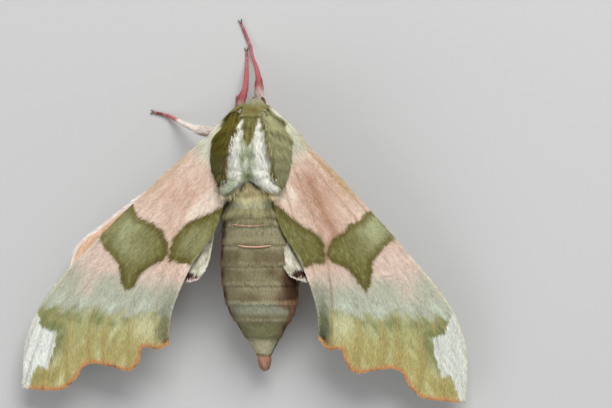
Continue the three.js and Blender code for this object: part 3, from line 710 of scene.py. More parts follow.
def cloud(tree, scale, detail):
    """Soft noise that stays with the piece."""
    place = add_node(tree, "ShaderNodeTexCoord").outputs["Object"]
    return add_node(tree, "ShaderNodeTexNoise", {"Vector": place, "Scale": scale, "Detail": detail}).outputs[0]


def colour_by(tree, shader, colour):
    tree.links.new(colour, shader.inputs["Base Color"])


def raise_relief(tree, shader, height, strength, distance, invert=False):
    values = {"Height": height, "Strength": strength, "Distance": distance}
    relief = add_node(tree, "ShaderNodeBump", values, invert=invert)
    tree.links.new(relief.outputs[0], shader.inputs["Normal"])


def read_mark(tree, name):
    return add_node(tree, "ShaderNodeAttribute", attribute_name=name).outputs["Fac"]


def new_group(name, inputs, outputs):
    group = bpy.data.node_groups.new(name, "ShaderNodeTree")
    for socket, kind, value in inputs:
        made = group.interface.new_socket(socket, in_out="INPUT", socket_type=kind)
        if value is not None:
            made.default_value = value
    for socket, kind in outputs:
        group.interface.new_socket(socket, in_out="OUTPUT", socket_type=kind)
    return group, group.nodes.new("NodeGroupInput"), group.nodes.new("NodeGroupOutput")


def markings_group(name, ground, layers):
    """The moth's pattern and some painted light and shade: every marking is laid over the ones before it, by its mask
    on the mesh.
    """
    group, _, out = new_group(name, [], [("Color", "NodeSocketColor")])
    colour = shade(*ground)
    for mark, tint in layers.items():
        colour = mix_colour(group, read_mark(group, mark), colour, shade(*tint))
    group.links.new(colour, out.inputs["Color"])
    return group


def scale_variation_group():
    """Each scale or hair differs a little from the next, and gets painted shade near its root, so it is darker there
    than at its tip.
    """
    group, source, out = new_group(
        "scale variation",
        [("Color", "NodeSocketColor", None), ("Spread", "NodeSocketFloat", 1.0), ("Root Shade", "NodeSocketFloat", 0.3)],
        [("Color", "NodeSocketColor")],
    )
    plain = source.outputs["Color"]
    tinted = add_node(group, "ShaderNodeHueSaturation", {
        "Hue": remap(group, read_mark(group, "hue"), -1.0, 1.0, 0.486, 0.514),
        "Value": remap(group, read_mark(group, "tone"), -1.0, 1.0, 0.7, 1.28), "Color": plain,
    })
    varied = mix_colour(group, source.outputs["Spread"], plain, tinted.outputs[0])
    # the painted root shade: the colour multiplied darker, laid on near the root
    dark = mix_colour(group, 1.0, varied, (0.55, 0.52, 0.47, 1), "MULTIPLY")
    near_root = remap(group, read_mark(group, "tip"), 0.0, 0.6, 1.0, 0.0)
    amount = add_node(group, "ShaderNodeMath", {0: near_root, 1: source.outputs["Root Shade"]}, operation="MULTIPLY")
    group.links.new(mix_colour(group, amount.outputs[0], varied, dark), out.inputs["Color"])
    return group


def lie_grain_group():
    """Fine streaks that follow the lie of the scales, as a tint mask and a height."""
    group, source, out = new_group(
        "lie grain",
        [("Fine", "NodeSocketFloat", 9.0), ("Long", "NodeSocketFloat", 1.4)],
        [("Mask", "NodeSocketFloat"), ("Height", "NodeSocketFloat")],
    )
    lie = add_node(group, "ShaderNodeAttribute", attribute_name="lie").outputs["Vector"]
    sizes = {"X": source.outputs["Long"], "Y": source.outputs["Fine"], "Z": 1.0}
    stretch = add_node(group, "ShaderNodeCombineXYZ", sizes)
    spot = add_node(group, "ShaderNodeVectorMath", {0: lie, 1: stretch.outputs[0]}, operation="MULTIPLY")
    noise = add_node(group, "ShaderNodeTexNoise", {"Vector": spot.outputs[0], "Scale": 1.0, "Detail": 3.0})
    group.links.new(remap(group, noise.outputs[0], 0.35, 0.65), out.inputs["Mask"])
    group.links.new(noise.outputs[0], out.inputs["Height"])
    return group


MARKINGS = {
    "wing": markings_group("wing markings", (218, 193, 175), WING_LAYERS),
    "body": markings_group("body markings", (132, 126, 78), BODY_LAYERS),
}
VARIATION = scale_variation_group()
GRAIN = lie_grain_group()


def new_material(name, roughness, **settings):
    material = bpy.data.materials.new(name)
    material.use_nodes = True
    shader = material.node_tree.nodes["Principled BSDF"]
    for socket, value in {"Roughness": roughness, **settings}.items():
        shader.inputs[socket.replace("_", " ")].default_value = value
    return material, material.node_tree, shader


def use_group(tree, group, values=None):
    return add_node(tree, "ShaderNodeGroup", values, node_tree=group)


def coat_finish(name, markings, spread, root):
    """Scales and hairs: the markings, each scale's own tone, painted shade near the roots, and a softly uneven gloss.
    """
    material, tree, shader = new_material(name, 0.8, Specular_IOR_Level=0.05)
    pattern = use_group(tree, MARKINGS[markings])
    varied = use_group(tree, VARIATION, {"Color": pattern.outputs["Color"], "Spread": spread, "Root Shade": root})
    colour_by(tree, shader, varied.outputs["Color"])
    tree.links.new(remap(tree, cloud(tree, 900.0, 2.0), 0.3, 0.7, 0.68, 0.9), shader.inputs["Roughness"])
    return material


def skin_finish(name, markings, darken, fine=9.0, long=1.4):
    """The surface under the scales: the same markings a little darker, with a streaked nap."""
    material, tree, shader = new_material(name, 0.85, Sheen_Weight=0.1, Specular_IOR_Level=0.2)
    pattern = use_group(tree, MARKINGS[markings]).outputs["Color"]
    grain = use_group(tree, GRAIN, {"Fine": fine, "Long": long})
    dark = mix_colour(tree, 1.0, pattern, (darken, darken, darken * 0.97, 1), "MULTIPLY")
    colour_by(tree, shader, mix_colour(tree, grain.outputs["Mask"], dark, pattern))
    tree.links.new(remap(tree, grain.outputs["Mask"], 0.0, 1.0, 0.92, 0.72), shader.inputs["Roughness"])
    raise_relief(tree, shader, grain.outputs["Height"], 0.3, 0.00006)
    return material


# `root` is how strong the painted shade is near the roots of the scales and hairs
FINISH = {
    "wing_scales": coat_finish("wing scales", "wing", spread=0.95, root=0.2),
    "wing_plate": skin_finish("wing membrane", "wing", darken=0.86),
    "hair": coat_finish("body hair", "body", spread=0.8, root=0.35),
    "body_scales": coat_finish("body scales", "body", spread=0.7, root=0.25),
    "body_skin": skin_finish("body skin", "body", darken=0.62, fine=7.0, long=1.2),
}

# ---------------------------------------------------------------- meshes


def deselect_all():
    bpy.ops.object.select_all(action="DESELECT")


def take(piece):
    """Makes a piece the only selected one, and the active one."""
    deselect_all()
    piece.select_set(True)
    bpy.context.view_layer.objects.active = piece


def join(pieces):
    """Joins pieces into the first one."""
    take(pieces[0])
    for piece in pieces:
        piece.select_set(True)
    bpy.ops.object.join()
    return pieces[0]


def new_object(name, data):
    thing = bpy.data.objects.new(name, data)
    bpy.context.scene.collection.objects.link(thing)
    return thing


def read(items, key, width=1, kind=float):
    """One property of all of a mesh's vertices, edges, corners or faces."""
    values = np.empty(len(items) * width, kind)
    items.foreach_get(key, values)
    return values if width == 1 else values.reshape(-1, width)


def points_of(piece):
    return read(piece.data.vertices, "co", 3)


def set_points(piece, points):
    piece.data.vertices.foreach_set("co", np.asarray(points, float).ravel())
    piece.data.update()


def normals_of(piece):
    return read(piece.data.vertex_normals, "vector", 3)


def keep_above_floor(piece):
    points = points_of(piece)
    points[:, 2] = np.maximum(points[:, 2], 0.0)
    set_points(piece, points)


def smooth_faces(piece):
    piece.data.polygons.foreach_set("use_smooth", np.ones(len(piece.data.polygons), bool))


def write_marks(mesh, marks):
    """Stores masks and ways per vertex; a mask that is 0 everywhere is left out."""
    for name, values in marks.items():
        values = np.asarray(values, np.float32)
        if values.ndim == 2:
            mesh.attributes.new(name, "FLOAT_VECTOR", "POINT").data.foreach_set("vector", values.ravel())
        elif np.abs(values).max(initial=0) > 1e-4:
            mesh.attributes.new(name, "FLOAT", "POINT").data.foreach_set("value", values)


def write_map(mesh, places):
    """Stores one map place per corner as the piece's OFBake map."""
    layer = mesh.uv_layers.new(name="OFBake")
    layer.data.foreach_set("uv", places.astype(np.float32).ravel())


def mesh_from_arrays(name, points, triangles):
    mesh = bpy.data.meshes.new(name)
    mesh.vertices.add(len(points))
    mesh.vertices.foreach_set("co", np.asarray(points, np.float32).ravel())
    mesh.loops.add(triangles.size)
    mesh.loops.foreach_set("vertex_index", triangles.astype(np.int32).ravel())
    mesh.polygons.add(len(triangles))
    mesh.polygons.foreach_set("loop_start", np.arange(0, triangles.size, 3, dtype=np.int32))
    mesh.update(calc_edges=True)
    return new_object(name, mesh)


def finish_piece(piece, name, finish, nodes=()):
    """Puts a piece in metres in the row frame, and names, colours and mounts it."""
    piece.name = piece.data.name = name
    set_points(piece, (points_of(piece) + ROW_SHIFT) * MM)
    piece.data.materials.clear()
    piece.data.materials.append(FINISH[finish] if isinstance(finish, str) else finish)
    smooth_faces(piece)
    piece.data.update()
    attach(piece, "root")
    if nodes:
        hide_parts(*nodes)


def lock_triangles(rings):
    """Faces of one lock: three-sided rings from the root on, closed by a point."""
    faces = [(0, 2, 1)]
    around = ((0, 1), (1, 2), (2, 0))
    for k in range(rings - 1):
        a, b = 3 * k, 3 * k + 3
        for i, j in around:
            faces += [(a + i, a + j, b + j), (a + i, b + j, b + i)]
    last = 3 * (rings - 1)
    faces += [(last + i, last + j, 3 * rings) for i, j in around]
    return np.array(faces)


# Size of each lock's patch on its piece's map, and how far a lock's long edges look rounded.
PATCH = 0.003
ROUNDED = 0.35


def grow(name, roots, ways, normals, *, length, width, lift, droop=0.6, curl=0.0, rings=1, thick=0.3, marks, places,
         tone, hue, own_flat=False):
    """A coat of closed locks or blades: each starts at its root, rises by `lift` of its length and lies down again.
    A blade is a lock of one ring whose ridge lies forward of its root."""
    count, each = len(roots), 3 * rings + 1
    length, width, lift, curl = (np.broadcast_to(a, count).astype(float) for a in (length, width, lift, curl))
    across = unit(np.cross(ways, normals))
    points = np.empty((count, each, 3))
    facing = np.empty_like(points)
    places_on = np.empty((count, each, 2))
    tip = np.zeros((count, each))

    def spine(s):
        rise = length * lift * (s - droop * s * s)
        bend = curl * length * s * s
        return roots + ways * (length * s)[:, None] + normals * rise[:, None] + across * bend[:, None]

    for k in range(rings + 1):
        s = k / rings
        centre = spine(s)
        slope = (lift * (1 - 2 * droop * s))[:, None]
        up = unit(normals - ways * slope * 0.7)
        if k == rings:
            points[:, -1] = centre
            facing[:, -1] = up
            places_on[:, -1] = places + (0, PATCH / 2)
            tip[:, -1] = 1
            continue
        taper = (1 - s) ** 0.55 * (0.55 if k == 0 and rings > 1 else 1)
        half = (width * taper / 2)[:, None]
        lean = up - ways * (0.8 if k == 0 else 0)
        points[:, 3 * k] = centre - across * half
        points[:, 3 * k + 1] = spine(s + (0.3 if rings == 1 else 0.06)) + normals * half * 2 * thick
        points[:, 3 * k + 2] = centre + across * half
        facing[:, 3 * k] = unit(lean - across * ROUNDED)
        facing[:, 3 * k + 1] = unit(up - ways * (0.1 if rings == 1 else 0))
        facing[:, 3 * k + 2] = unit(lean + across * ROUNDED)
        low = PATCH * (s - 0.5)
        span = PATCH / 2 * (1 - 0.5 * s)
        places_on[:, 3 * k] = places + (-span, low)
        places_on[:, 3 * k + 1] = places + (0, low + 0.3 * PATCH)
        places_on[:, 3 * k + 2] = places + (span, low)
        tip[:, 3 * k:3 * k + 3] = s
        if rings == 1:
            tip[:, 1] = 0.35
    faces = lock_triangles(rings)
    triangles = (faces[None] + np.arange(count)[:, None, None] * each).reshape(-1, 3)
    piece = mesh_from_arrays(name, points.reshape(-1, 3), triangles)
    spread = {mark: np.repeat(values, each) for mark, values in marks.items()}
    spread.update(tone=np.repeat(tone, each), hue=np.repeat(hue, each), tip=tip.ravel())
    write_marks(piece.data, spread)
    write_map(piece.data, np.clip(places_on.reshape(-1, 2), 0.001, 0.999)[triangles.ravel()])
    smooth_faces(piece)
    corners = facing.reshape(-1, 3)[triangles]
    if own_flat:  # the flat side that faces the body keeps its own normal
        flat_side = np.array([1 + 6 * k + i for k in range(rings - 1) for i in (4, 5)] + [len(faces) - 1])
        flat_side = (flat_side[None] + np.arange(count)[:, None] * len(faces)).ravel()
        spots = points.reshape(-1, 3)[triangles[flat_side]]
        outward = unit(np.cross(spots[:, 1] - spots[:, 0], spots[:, 2] - spots[:, 0]))
        corners[flat_side] = outward[:, None, :]
    piece.data.normals_split_custom_set(corners.reshape(-1, 3).tolist())
    return piece


def pick_by_weight(weight, count, rng):
    """Indices of cells, evenly spread by their weight."""
    total = np.cumsum(weight)
    chosen = np.searchsorted(total, (np.arange(count) + rng.random(count)) / count * total[-1])
    return np.minimum(chosen, len(weight) - 1)


# ---------------------------------------------------------------- wings


def wing_marks(wing, plan, under):
    """The masks of one side of a wing, from 0 to 1."""
    if under:
        return underside_marks(wing, plan)
    marks = hindwing_marks(wing, plan) if wing.hind else forewing_marks(wing, plan)
    return {name: np.clip(values, 0, 1) for name, values in marks.items()}


def build_plate(wing, name, node, steps):
    """The membrane: a grid bent over the wing's surface, thickened, and stiffened along its front edge."""
    deselect_all()
    bpy.ops.mesh.primitive_grid_add(x_subdivisions=steps[0], y_subdivisions=steps[1], size=2)
    plate = bpy.context.active_object
    flat = points_of(plate)
    u, v = ((flat[:, 0] + 1) / 2) ** 0.85, (flat[:, 1] + 1) / 2
    set_points(plate, wing.surface(wing_plan(wing.shape, u, v)))
    if SIDES[wing.side] > 0:
        plate.data.flip_normals()
    solid = plate.modifiers.new("plate", "SOLIDIFY")
    solid.thickness = 0.2
    solid.offset = 0
    take(plate)
    bpy.ops.object.modifier_apply(modifier=solid.name)
    points = points_of(plate)
    plan = wing.plan_of(points)
    middle = wing.height(plan)
    under = points[:, 2] < middle
    points[:, 2] = middle + np.where(under, -1, 1) * wing.half_thickness(plan)
    set_points(plate, points)
    top, below = wing_marks(wing, plan, False), wing_marks(wing, plan, True)
    zero = np.zeros(len(points))
    marks = {mark: np.where(under, below.get(mark, zero), top.get(mark, zero)) for mark in {**top, **below}}
    write_marks(plate.data, {**marks, "lie": np.column_stack([plan, zero])})
    # top faces go on one half of the map and the others on the other half
    faces = plate.data.polygons
    faces_down = np.repeat(read(faces, "normal", 3)[:, 2] < 0, read(faces, "loop_total", kind=np.int32))
    corners = read(plate.data.loops, "vertex_index", kind=np.int32)
    write_map(plate.data, wing.map_place(plan[corners], faces_down))
    finish_piece(plate, name, "wing_plate", [node])


def spread_over_wing(wing, count, rng):
    """Evenly scattered plan points with the way that scales lie there."""
    us, vs = np.linspace(0, 1, 181), np.linspace(0, 1, 101)
    grid = wing_plan(wing.shape, us[:, None], vs[None, :])
    ahead, aside = grid[1:, :-1] - grid[:-1, :-1], grid[:-1, 1:] - grid[:-1, :-1]
    area = np.abs(ahead[..., 0] * aside[..., 1] - ahead[..., 1] * aside[..., 0]).ravel()
    cells = pick_by_weight(area, count, rng)
    i, j = np.divmod(cells, len(vs) - 1)
    u = us[i] + rng.random(count) * (us[1] - us[0])
    v = vs[j] + rng.random(count) * (vs[1] - vs[0])
    u = np.minimum(u, 0.999)
    plan = wing_plan(wing.shape, u, v)
    ahead = np.minimum(u + 0.01, 1.0)
    return plan, unit(wing_plan(wing.shape, ahead, v) - wing_plan(wing.shape, ahead - 0.01, v))


def build_scales(wing, name, count, under, seed, length, width):
    """Overlapping scales on one face of a wing."""
    rng = np.random.default_rng(seed)
    plan, way = spread_over_wing(wing, count, rng)
    if under:  # none close to the edges, where they would show past them from above
        clear = np.min(list(wing.edge_distances(plan)), axis=0) > 0.35
        plan, way = plan[clear], way[clear]
        count = len(plan)
    turn = rng.normal(0, 0.13, count) + 0.12 * wobble(plan, 2.5, seed + 1)
    way = np.stack([way[:, 0] * np.cos(turn) - way[:, 1] * np.sin(turn),
                    way[:, 0] * np.sin(turn) + way[:, 1] * np.cos(turn)], axis=1)
    long = length * rng.uniform(0.75, 1.25, count)
    to_edge = np.minimum(line_distance(plan, wing.outer), line_distance(plan, wing.rear))
    short = 0.3 if wing.hind else 0.4
    long *= short + (1 - short) * ramp(to_edge, 0.1, 0.6)
    if not (under or wing.hind):  # hair-like by the shoulder
        long *= 1 + 1.2 * ramp(plan[:, 0], 3.2, 0.8)
    if under:
        long = np.minimum(long, 0.9 * to_edge)
    sign = -1 if under else 1
    root = wing.surface(plan, sign * (wing.half_thickness(plan) - 0.012))
    tip_plan = plan + way * long[:, None]
    tip = wing.surface(tip_plan, sign * wing.half_thickness(tip_plan))
    small = 0.05
    middle, ahead, aside = (wing.surface(plan + step) for step in ((0, 0), (small, 0), (0, small)))
    normals = unit(np.cross(ahead - middle, aside - middle))
    normals *= np.sign(normals[:, 2:3]) * sign
    ways = unit(tip - root)
    reach = np.linalg.norm(tip - root, axis=1)
    marks = wing_marks(wing, plan + way * (0.6 * long)[:, None] + rng.normal(0, 0.07, (count, 2)), under)
    tone = rng.normal(0, 0.6, count) + 0.22 * wobble(plan * (0.35, 1.6), 0.9, seed + 2)
    tone = np.clip(tone * (1 + 0.6 * marks.get("blotch", 0)), -1, 1)
    piece = grow(
        name, root, ways, normals, length=reach, width=width * rng.uniform(0.8, 1.25, count),
        lift=rng.uniform(0.04, 0.12, count), droop=0.25, thick=0.16, marks=marks,
        places=wing.map_place(plan, np.full(count, under)), tone=tone, hue=rng.uniform(-1, 1, count),
    )
    finish_piece(piece, name, "wing_scales")


# For each pair of wings: the membrane's grid, and the count, length and width of its upper and under scales.
WING_COATS = {
    "forewing": ((190, 96), (46000, 0.5, 0.12), (13500, 0.85, 0.22)),
    "hindwing": ((110, 80), (10000, 0.6, 0.15), (9000, 0.8, 0.2)),
}


def build_wings():
    """Membranes first, then the scales on both faces of each."""
    for side, sign in SIDES.items():
        wings = {"forewing": Wing(side, False), "hindwing": Wing(side, True)}
        for kind, wing in wings.items():
            steps = WING_COATS[kind][0]
            build_plate(wing, f"{kind}_{side}_membrane", f"{kind}_{side}", steps)
        for kind, wing in wings.items():
            for under, (count, length, width) in enumerate(WING_COATS[kind][1:]):
                name = f"{kind}_{side}_{'under' if under else 'upper'}_scales"
                seed = 100 + 20 * wing.hind + 10 * under + sign
                build_scales(wing, name, count, bool(under), seed, length, width)


# ---------------------------------------------------------------- body skin

# How deep the skin lies inside each solid, which is the depth of the coat there.
SKIN_DEPTH = {"head": 0.3, "collar": 0.45, "thorax": 0.5, "tegula_left": 0.32, "tegula_right": 0.32, "abdomen": 0.16,
              "anal_tuft": 0.14, "palp_left": 0.1, "palp_right": 0.1, **{leg: 0.05 for leg in LEG_PATHS}}
# How far each copied solid is stretched about its own middle, so that neighbours run into each other.
STRETCH = {"collar": (1, 1.35, 1), "thorax": (1, 1.08, 1), "abdomen": (1, 1.03, 1), "tegula_left": (0.98, 1, 0.95),
           "tegula_right": (0.98, 1, 0.95)}
# The mesh size and the rounds of smoothing that melt the solids into one skin.
SKIN_STEP = 0.13
SKIN_ROUNDS = 7
# Depth of the grooves between the abdomen's rings.
GROOVE = 0.085
# Masses that fill out the solids: middle, half sizes, and turn about the upright in degrees.
MASSES = [
    ((-0.17, -4.5, 7.55), (2.1, 1.35, 2.45), 0),  # nape
    ((-0.17, -5.35, 7.6), (1.85, 1.2, 1.5), 0),  # crown
    ((-0.2, -5.9, 6.95), (1.2, 1.05, 1.5), 0),  # brow
    ((-0.1, 5.1, 7.4), (3.75, 2.0, 2.45), 0),  # waist
    ((1.78, 2.72, 10.8), (0.72, 1.25, 0.75), -38),  # left white tuft
    ((-2.0, 2.5, 10.8), (0.72, 1.3, 0.75), 43),  # right white tuft
]


def copied_node(name):
    """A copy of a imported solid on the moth's own axes, in millimetres, with its loose faces merged."""
    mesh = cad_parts[name].data.copy()
    mesh.materials.clear()
    piece = new_object(f"copy_{name}", mesh)
    points = points_of(piece) / MM - ROW_SHIFT
    middle = (points.min(0) + points.max(0)) / 2
    if name.startswith("tegula"):
        middle = np.array([0, middle[1], 7.2])
    set_points(piece, middle + (points - middle) * STRETCH.get(name, (1, 1, 1)))
    take(piece)
    bpy.ops.object.mode_set(mode="EDIT")
    bpy.ops.mesh.select_all(action="SELECT")
    bpy.ops.mesh.remove_doubles(threshold=0.001)
    bpy.ops.object.mode_set(mode="OBJECT")
    return piece


def ball(fineness, radius=1, place=(0, 0, 0)):
    bpy.ops.mesh.primitive_ico_sphere_add(subdivisions=fineness, radius=radius, location=place)
    return bpy.context.active_object


def filling_balls():
    """The rounded masses, and small balls that join the legs and palps to the body."""
    balls = []
    for middle, half_sizes, turn in MASSES:
        mass = ball(4)
        points = points_of(mass) * half_sizes
        cos, sin = math.cos(math.radians(turn)), math.sin(math.radians(turn))
        x, y, z = points.T
        set_points(mass, np.stack([x * cos - y * sin, x * sin + y * cos, z], axis=1) + middle)
        balls.append(mass)
    spots = [row_at(path, share) for path in LEG_PATHS.values() for share in (0.0, 0.05, 0.1, 0.15, 0.2)]
    for sign in SIDES.values():
        path = mirrored(PALP_PATH, sign, HEAD_SHIFT)
        spots += [row_at(path, share) for share in (0.0, 0.12, 0.25)]
        spots += [(path[0][0], -5.75 + back, 4.42 + 0.75 * back, 0.36 + 0.12 * back) for back in (0.1, 0.3, 0.5, 0.75)]
    return balls + [ball(2, radius * 0.94, (x, y, z)) for x, y, z, radius in spots]


def nearest_regions(points):
    """Which body region each point belongs to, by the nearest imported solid."""
    vertices, faces, owner = [], [], []
    for name in BODY_REGIONS:
        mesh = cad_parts[name].data
        start = len(vertices)
        vertices += [tuple(np.array(v.co) / MM - ROW_SHIFT) for v in mesh.vertices]
        for polygon in mesh.polygons:
            faces.append([start + k for k in polygon.vertices])
            owner.append(REGION[name])
    tree = BVHTree.FromPolygons(vertices, faces)
    return np.array([owner[tree.find_nearest(Vector(p))[2]] for p in points])


def smoothed(values, edges, rounds):
    """Values averaged over neighbouring vertices a number of times."""
    for _ in range(rounds):
        total = values.copy()
        weight = np.ones(len(values))
        np.add.at(total, edges[:, 0], values[edges[:, 1]])
        np.add.at(total, edges[:, 1], values[edges[:, 0]])
        np.add.at(weight, edges.ravel(), 1)
        values = total / weight
    return values


def build_skin():
    """One closed skin over all of the body's solids, drawn in by the depth of the coat."""
    deselect_all()
    skin = join([copied_node(name) for name in BODY_REGIONS] + filling_balls())
    take(skin)
    bpy.ops.object.transform_apply(location=True, rotation=True, scale=True)
    for kind, settings in (
        ("REMESH", dict(mode="VOXEL", voxel_size=SKIN_STEP)),
        ("SMOOTH", dict(factor=0.5, iterations=SKIN_ROUNDS)),
    ):
        step = skin.modifiers.new(kind.lower(), kind)
        for key, value in settings.items():
            setattr(step, key, value)
        bpy.ops.object.modifier_apply(modifier=step.name)
    points = points_of(skin)
    region = nearest_regions(points)
    tuft = in_white_tuft(points)
    region[tuft > 0.3] = REGION["thorax"]
    depth = np.array([SKIN_DEPTH[name] for name in BODY_REGIONS])[region]
    depth = depth * ramp(eye_distance(points), EYE_RADIUS + 0.05, EYE_RADIUS + 0.6) * (1 - 0.75 * tuft)
    depth = smoothed(depth, read(skin.data.edges, "vertices", 2, np.int32), 6)
    points = points - normals_of(skin) * depth[:, None]
    points[:, 2] = np.maximum(points[:, 2], 0.0)
    set_points(skin, points)
    phase = ring_phase(points[:, 1])
    notch = on(region, "abdomen") * (hump(phase, 0, 0.07) + hump(phase, 1, 0.035) * 0.2) * GROOVE
    points = points - normals_of(skin) * notch[:, None]
    set_points(skin, points)
    write_marks(skin.data, {**body_marks(points, region), "lie": body_lie(points, region)})
    return skin, region


def body_lie(points, region):
    """Distance along and around the body or a leg, in millimetres, for the streaks of the nap."""
    x, y, z = points.T
    lie = np.stack([y, np.arctan2(z - 6.5, x) * 4, np.zeros(len(points))], axis=1)
    for _, here, share, heading, path in legs_among(points, region):
        away = points[here] - path[:, :3]
        turn = np.arctan2(away[:, 2], np.cross(heading, (0, 0, 1))[:, 0] * away[:, 0] + away[:, 1])
        lie[here] = np.stack([share * 14, turn * 0.4, np.zeros(here.sum())], axis=1)
    return lie


# ---------------------------------------------------------------- the body's coat


class Hide:
    """Places on the skin where hairs and scales can grow."""

    def __init__(self, skin, region):
        mesh = skin.data
        mesh.calc_loop_triangles()
        self.triangles = read(mesh.loop_triangles, "vertices", 3, np.int32)
        self.points, self.normals, self.region = points_of(skin), normals_of(skin), region
        a, b, c = (self.points[self.triangles[:, k]] for k in range(3))
        self.area = np.linalg.norm(np.cross(b - a, c - a), axis=1) / 2

    def scatter(self, names, count, rng, density=None):
        """Roots on the named regions, spread evenly or by a density."""
        wanted = np.isin(self.region[self.triangles[:, 0]], [REGION[name] for name in names])
        weight = np.where(wanted, self.area, 0)
        if density is not None:
            weight = weight * density(self.points[self.triangles].mean(axis=1))
        chosen = pick_by_weight(weight, count, rng)
        a, b = rng.random((2, count))
        over = a + b > 1
        a, b = np.where(over, 1 - a, a), np.where(over, 1 - b, b)
        shares = np.stack([1 - a - b, a, b], axis=1)[..., None]
        corners = self.triangles[chosen]
        roots = (self.points[corners] * shares).sum(axis=1)
        normals = unit((self.normals[corners] * shares).sum(axis=1))
        return roots, normals, self.region[corners[:, 0]]


def in_white_tuft(points):
    """How surely points belong to one of the two raised white tufts."""
    x, y, z = points.T
    depth = np.maximum(*(depth_inside(points[:, :2], edge) for edge in WHITE_TUFTS.values()))
    reach = np.interp(y, [1.2, 2.2, 2.7], [2.1, 2.45, 3.2]) - np.abs(x)
    return ramp(depth, -0.25, 0.1) * ramp(z, 10.2, 10.6) * ramp(y, 0.9, 1.5) * ramp(reach, -0.1, 0.15)


def flow(roots, region):
    """The way the coat lies on each region, before it is laid on the skin."""
    x, y, z = roots.T
    way = np.stack([np.zeros(len(x)), np.ones(len(x)), np.zeros(len(x))], axis=1)
    # the head's hair runs out from a whorl on the brow and turns back over the nape
    here = (region == REGION["head"]) | (region == REGION["collar"])
    nape = ramp(y[here], -5.1, -4.4)
    down = np.maximum(0.9 * ramp(z[here], 7, 5.5), 1.7 * ramp(y[here], -5.5, -6.1))
    way[here] = np.stack([
        (x[here] + 0.15) * (0.6 - 0.32 * nape), (1 - nape) * (y[here] + 5.25) * 1.2 + nape, -down * (1 - nape),
    ], axis=1)
    here = region == REGION["thorax"]
    way[here, 0] = 0.06 * x[here] + 0.8 * np.sign(x[here]) * in_white_tuft(roots[here])
    way[here, 2] = -0.35 * ramp(z[here], 7.5, 5)
    for name, side in SIDES.items():
        here = region == REGION[f"tegula_{name}"]
        way[here, 0] = side * (0.38 * ramp(y[here], -2.2, -5.2) + 0.12 * ramp(y[here], 3, -1))
        here = region == REGION[f"palp_{name}"]
        way[here] = (0, -0.55, 0.85)
    here = region == REGION["anal_tuft"]
    way[here, 0] = 0.3 * (x[here] + 0.6)
    way[here, 2] = -0.1
    here = region == REGION["abdomen"]
    way[here, 0] = 0.12 * (x[here] + 0.2) * ramp(y[here], 7.5, 5.5)
    for _, here, _, heading, _ in legs_among(roots, region):
        way[here] = heading
    return way


def laid(ways, normals, turn):
    """Ways laid on the skin and turned on it by an angle."""
    flat = unit(ways - normals * (ways * normals).sum(axis=1, keepdims=True))
    aside = np.cross(normals, flat)
    return unit(flat * np.cos(turn)[:, None] + aside * np.sin(turn)[:, None])


def body_map(points, region, names):
    """The coat's unwrap: girth against length, with a strip for each region or leg of the piece."""
    places = np.zeros((len(points), 2))
    for index, name in enumerate(names):
        here = region == REGION[name]
        if not here.any():
            continue
        spots = points[here]
        if name in LEG_PATHS:
            share, heading, path = leg_place(spots, name)
            away = spots - path[:, :3]
            side = unit(np.cross(heading, (0, 0, 1)))
            girth = np.arctan2(away[:, 2], (away * side).sum(axis=1)) / math.tau + 0.5
            length = share
        else:
            middle_x = spots[:, 0].mean() if name.startswith(("palp", "tegula")) else -0.2
            low_z = {"tegula": 6.5, "palp": 5.0, "anal": 3.4}.get(name.split("_")[0], 6.2)
            girth = np.arctan2(spots[:, 2] - low_z, spots[:, 0] - middle_x) / math.tau + 0.5
            length = (spots[:, 1] - spots[:, 1].min()) / max(np.ptp(spots[:, 1]), 1e-6)
        places[here] = np.stack([(index + 0.03 + 0.94 * girth) / len(names), 0.01 + 0.98 * length], axis=1)
    return places


def build_coat(hide, name, names, count, seed, *, length, width, lift, rings=1, droop=0.6, turn=0.12, comb=0.15,
               thick=0.3, finish="hair", density=None, sink=0.03, shape=None, clump=0.5):
    """The coat of some regions: locks that lie along the flow and are shorter where it meets the skin head on."""
    rng = np.random.default_rng(seed)
    roots, normals, region = hide.scatter(names, count, rng, density)
    swirl = rng.normal(0, turn, count) + comb * wobble(roots, 1.3, seed + 1)
    ways = flow(roots, region)
    facing = (unit(ways) * normals).sum(axis=1)
    stands_across = np.maximum(ramp(facing, 0.6, 0.95), ramp(-facing, 0.55, 0.95) * (region > REGION["collar"]))
    ways = laid(ways, normals, swirl)
    long = float(length) * rng.uniform(0.75, 1.25, count) * (1 - 0.6 * stands_across)
    rise = np.full(count, float(lift)) * rng.uniform(0.6, 1.4, count)
    if shape is not None:
        more, raised = shape(roots, region)
        long, rise = long * more, rise * raised
    tone = np.clip(rng.normal(0, 0.4, count) + clump * wobble(roots, 0.55, seed + 2), -1, 1)
    piece = grow(
        name, roots - normals * sink, ways, normals, length=long, width=width * rng.uniform(0.75, 1.3, count),
        lift=rise, droop=droop, curl=rng.normal(0, 0.08, count) + 0.1 * wobble(roots, 0.9, seed + 3), rings=rings,
        thick=thick, marks=body_marks(roots + ways * (0.55 * long)[:, None], region),
        places=body_map(roots, region, names), tone=tone,
        hue=rng.uniform(-1, 1, count), own_flat=True,
    )
    keep_above_floor(piece)
    finish_piece(piece, name, finish)


# Each `..._shape` says how much longer the hairs are at their roots' places, and how much further they rise.


def thorax_shape(roots, region):
    x, y, _ = roots.T
    tuft = in_white_tuft(roots)
    flank = ramp(np.abs(x), 2.6, 3.2) * ramp(y, 0.5, 1.5) * (1 - tuft)
    middle = ramp(np.abs(x), 1.3, 0.9) * ramp(y, 0.2, 0.9) * ramp(y, 2.4, 2.0) * (1 - tuft)
    longer = 1 - 0.35 * tuft - 0.35 * ramp(y, -2.2, -3.4) - 0.35 * flank - 0.5 * middle
    return longer, 1 - 0.45 * tuft - 0.4 * flank


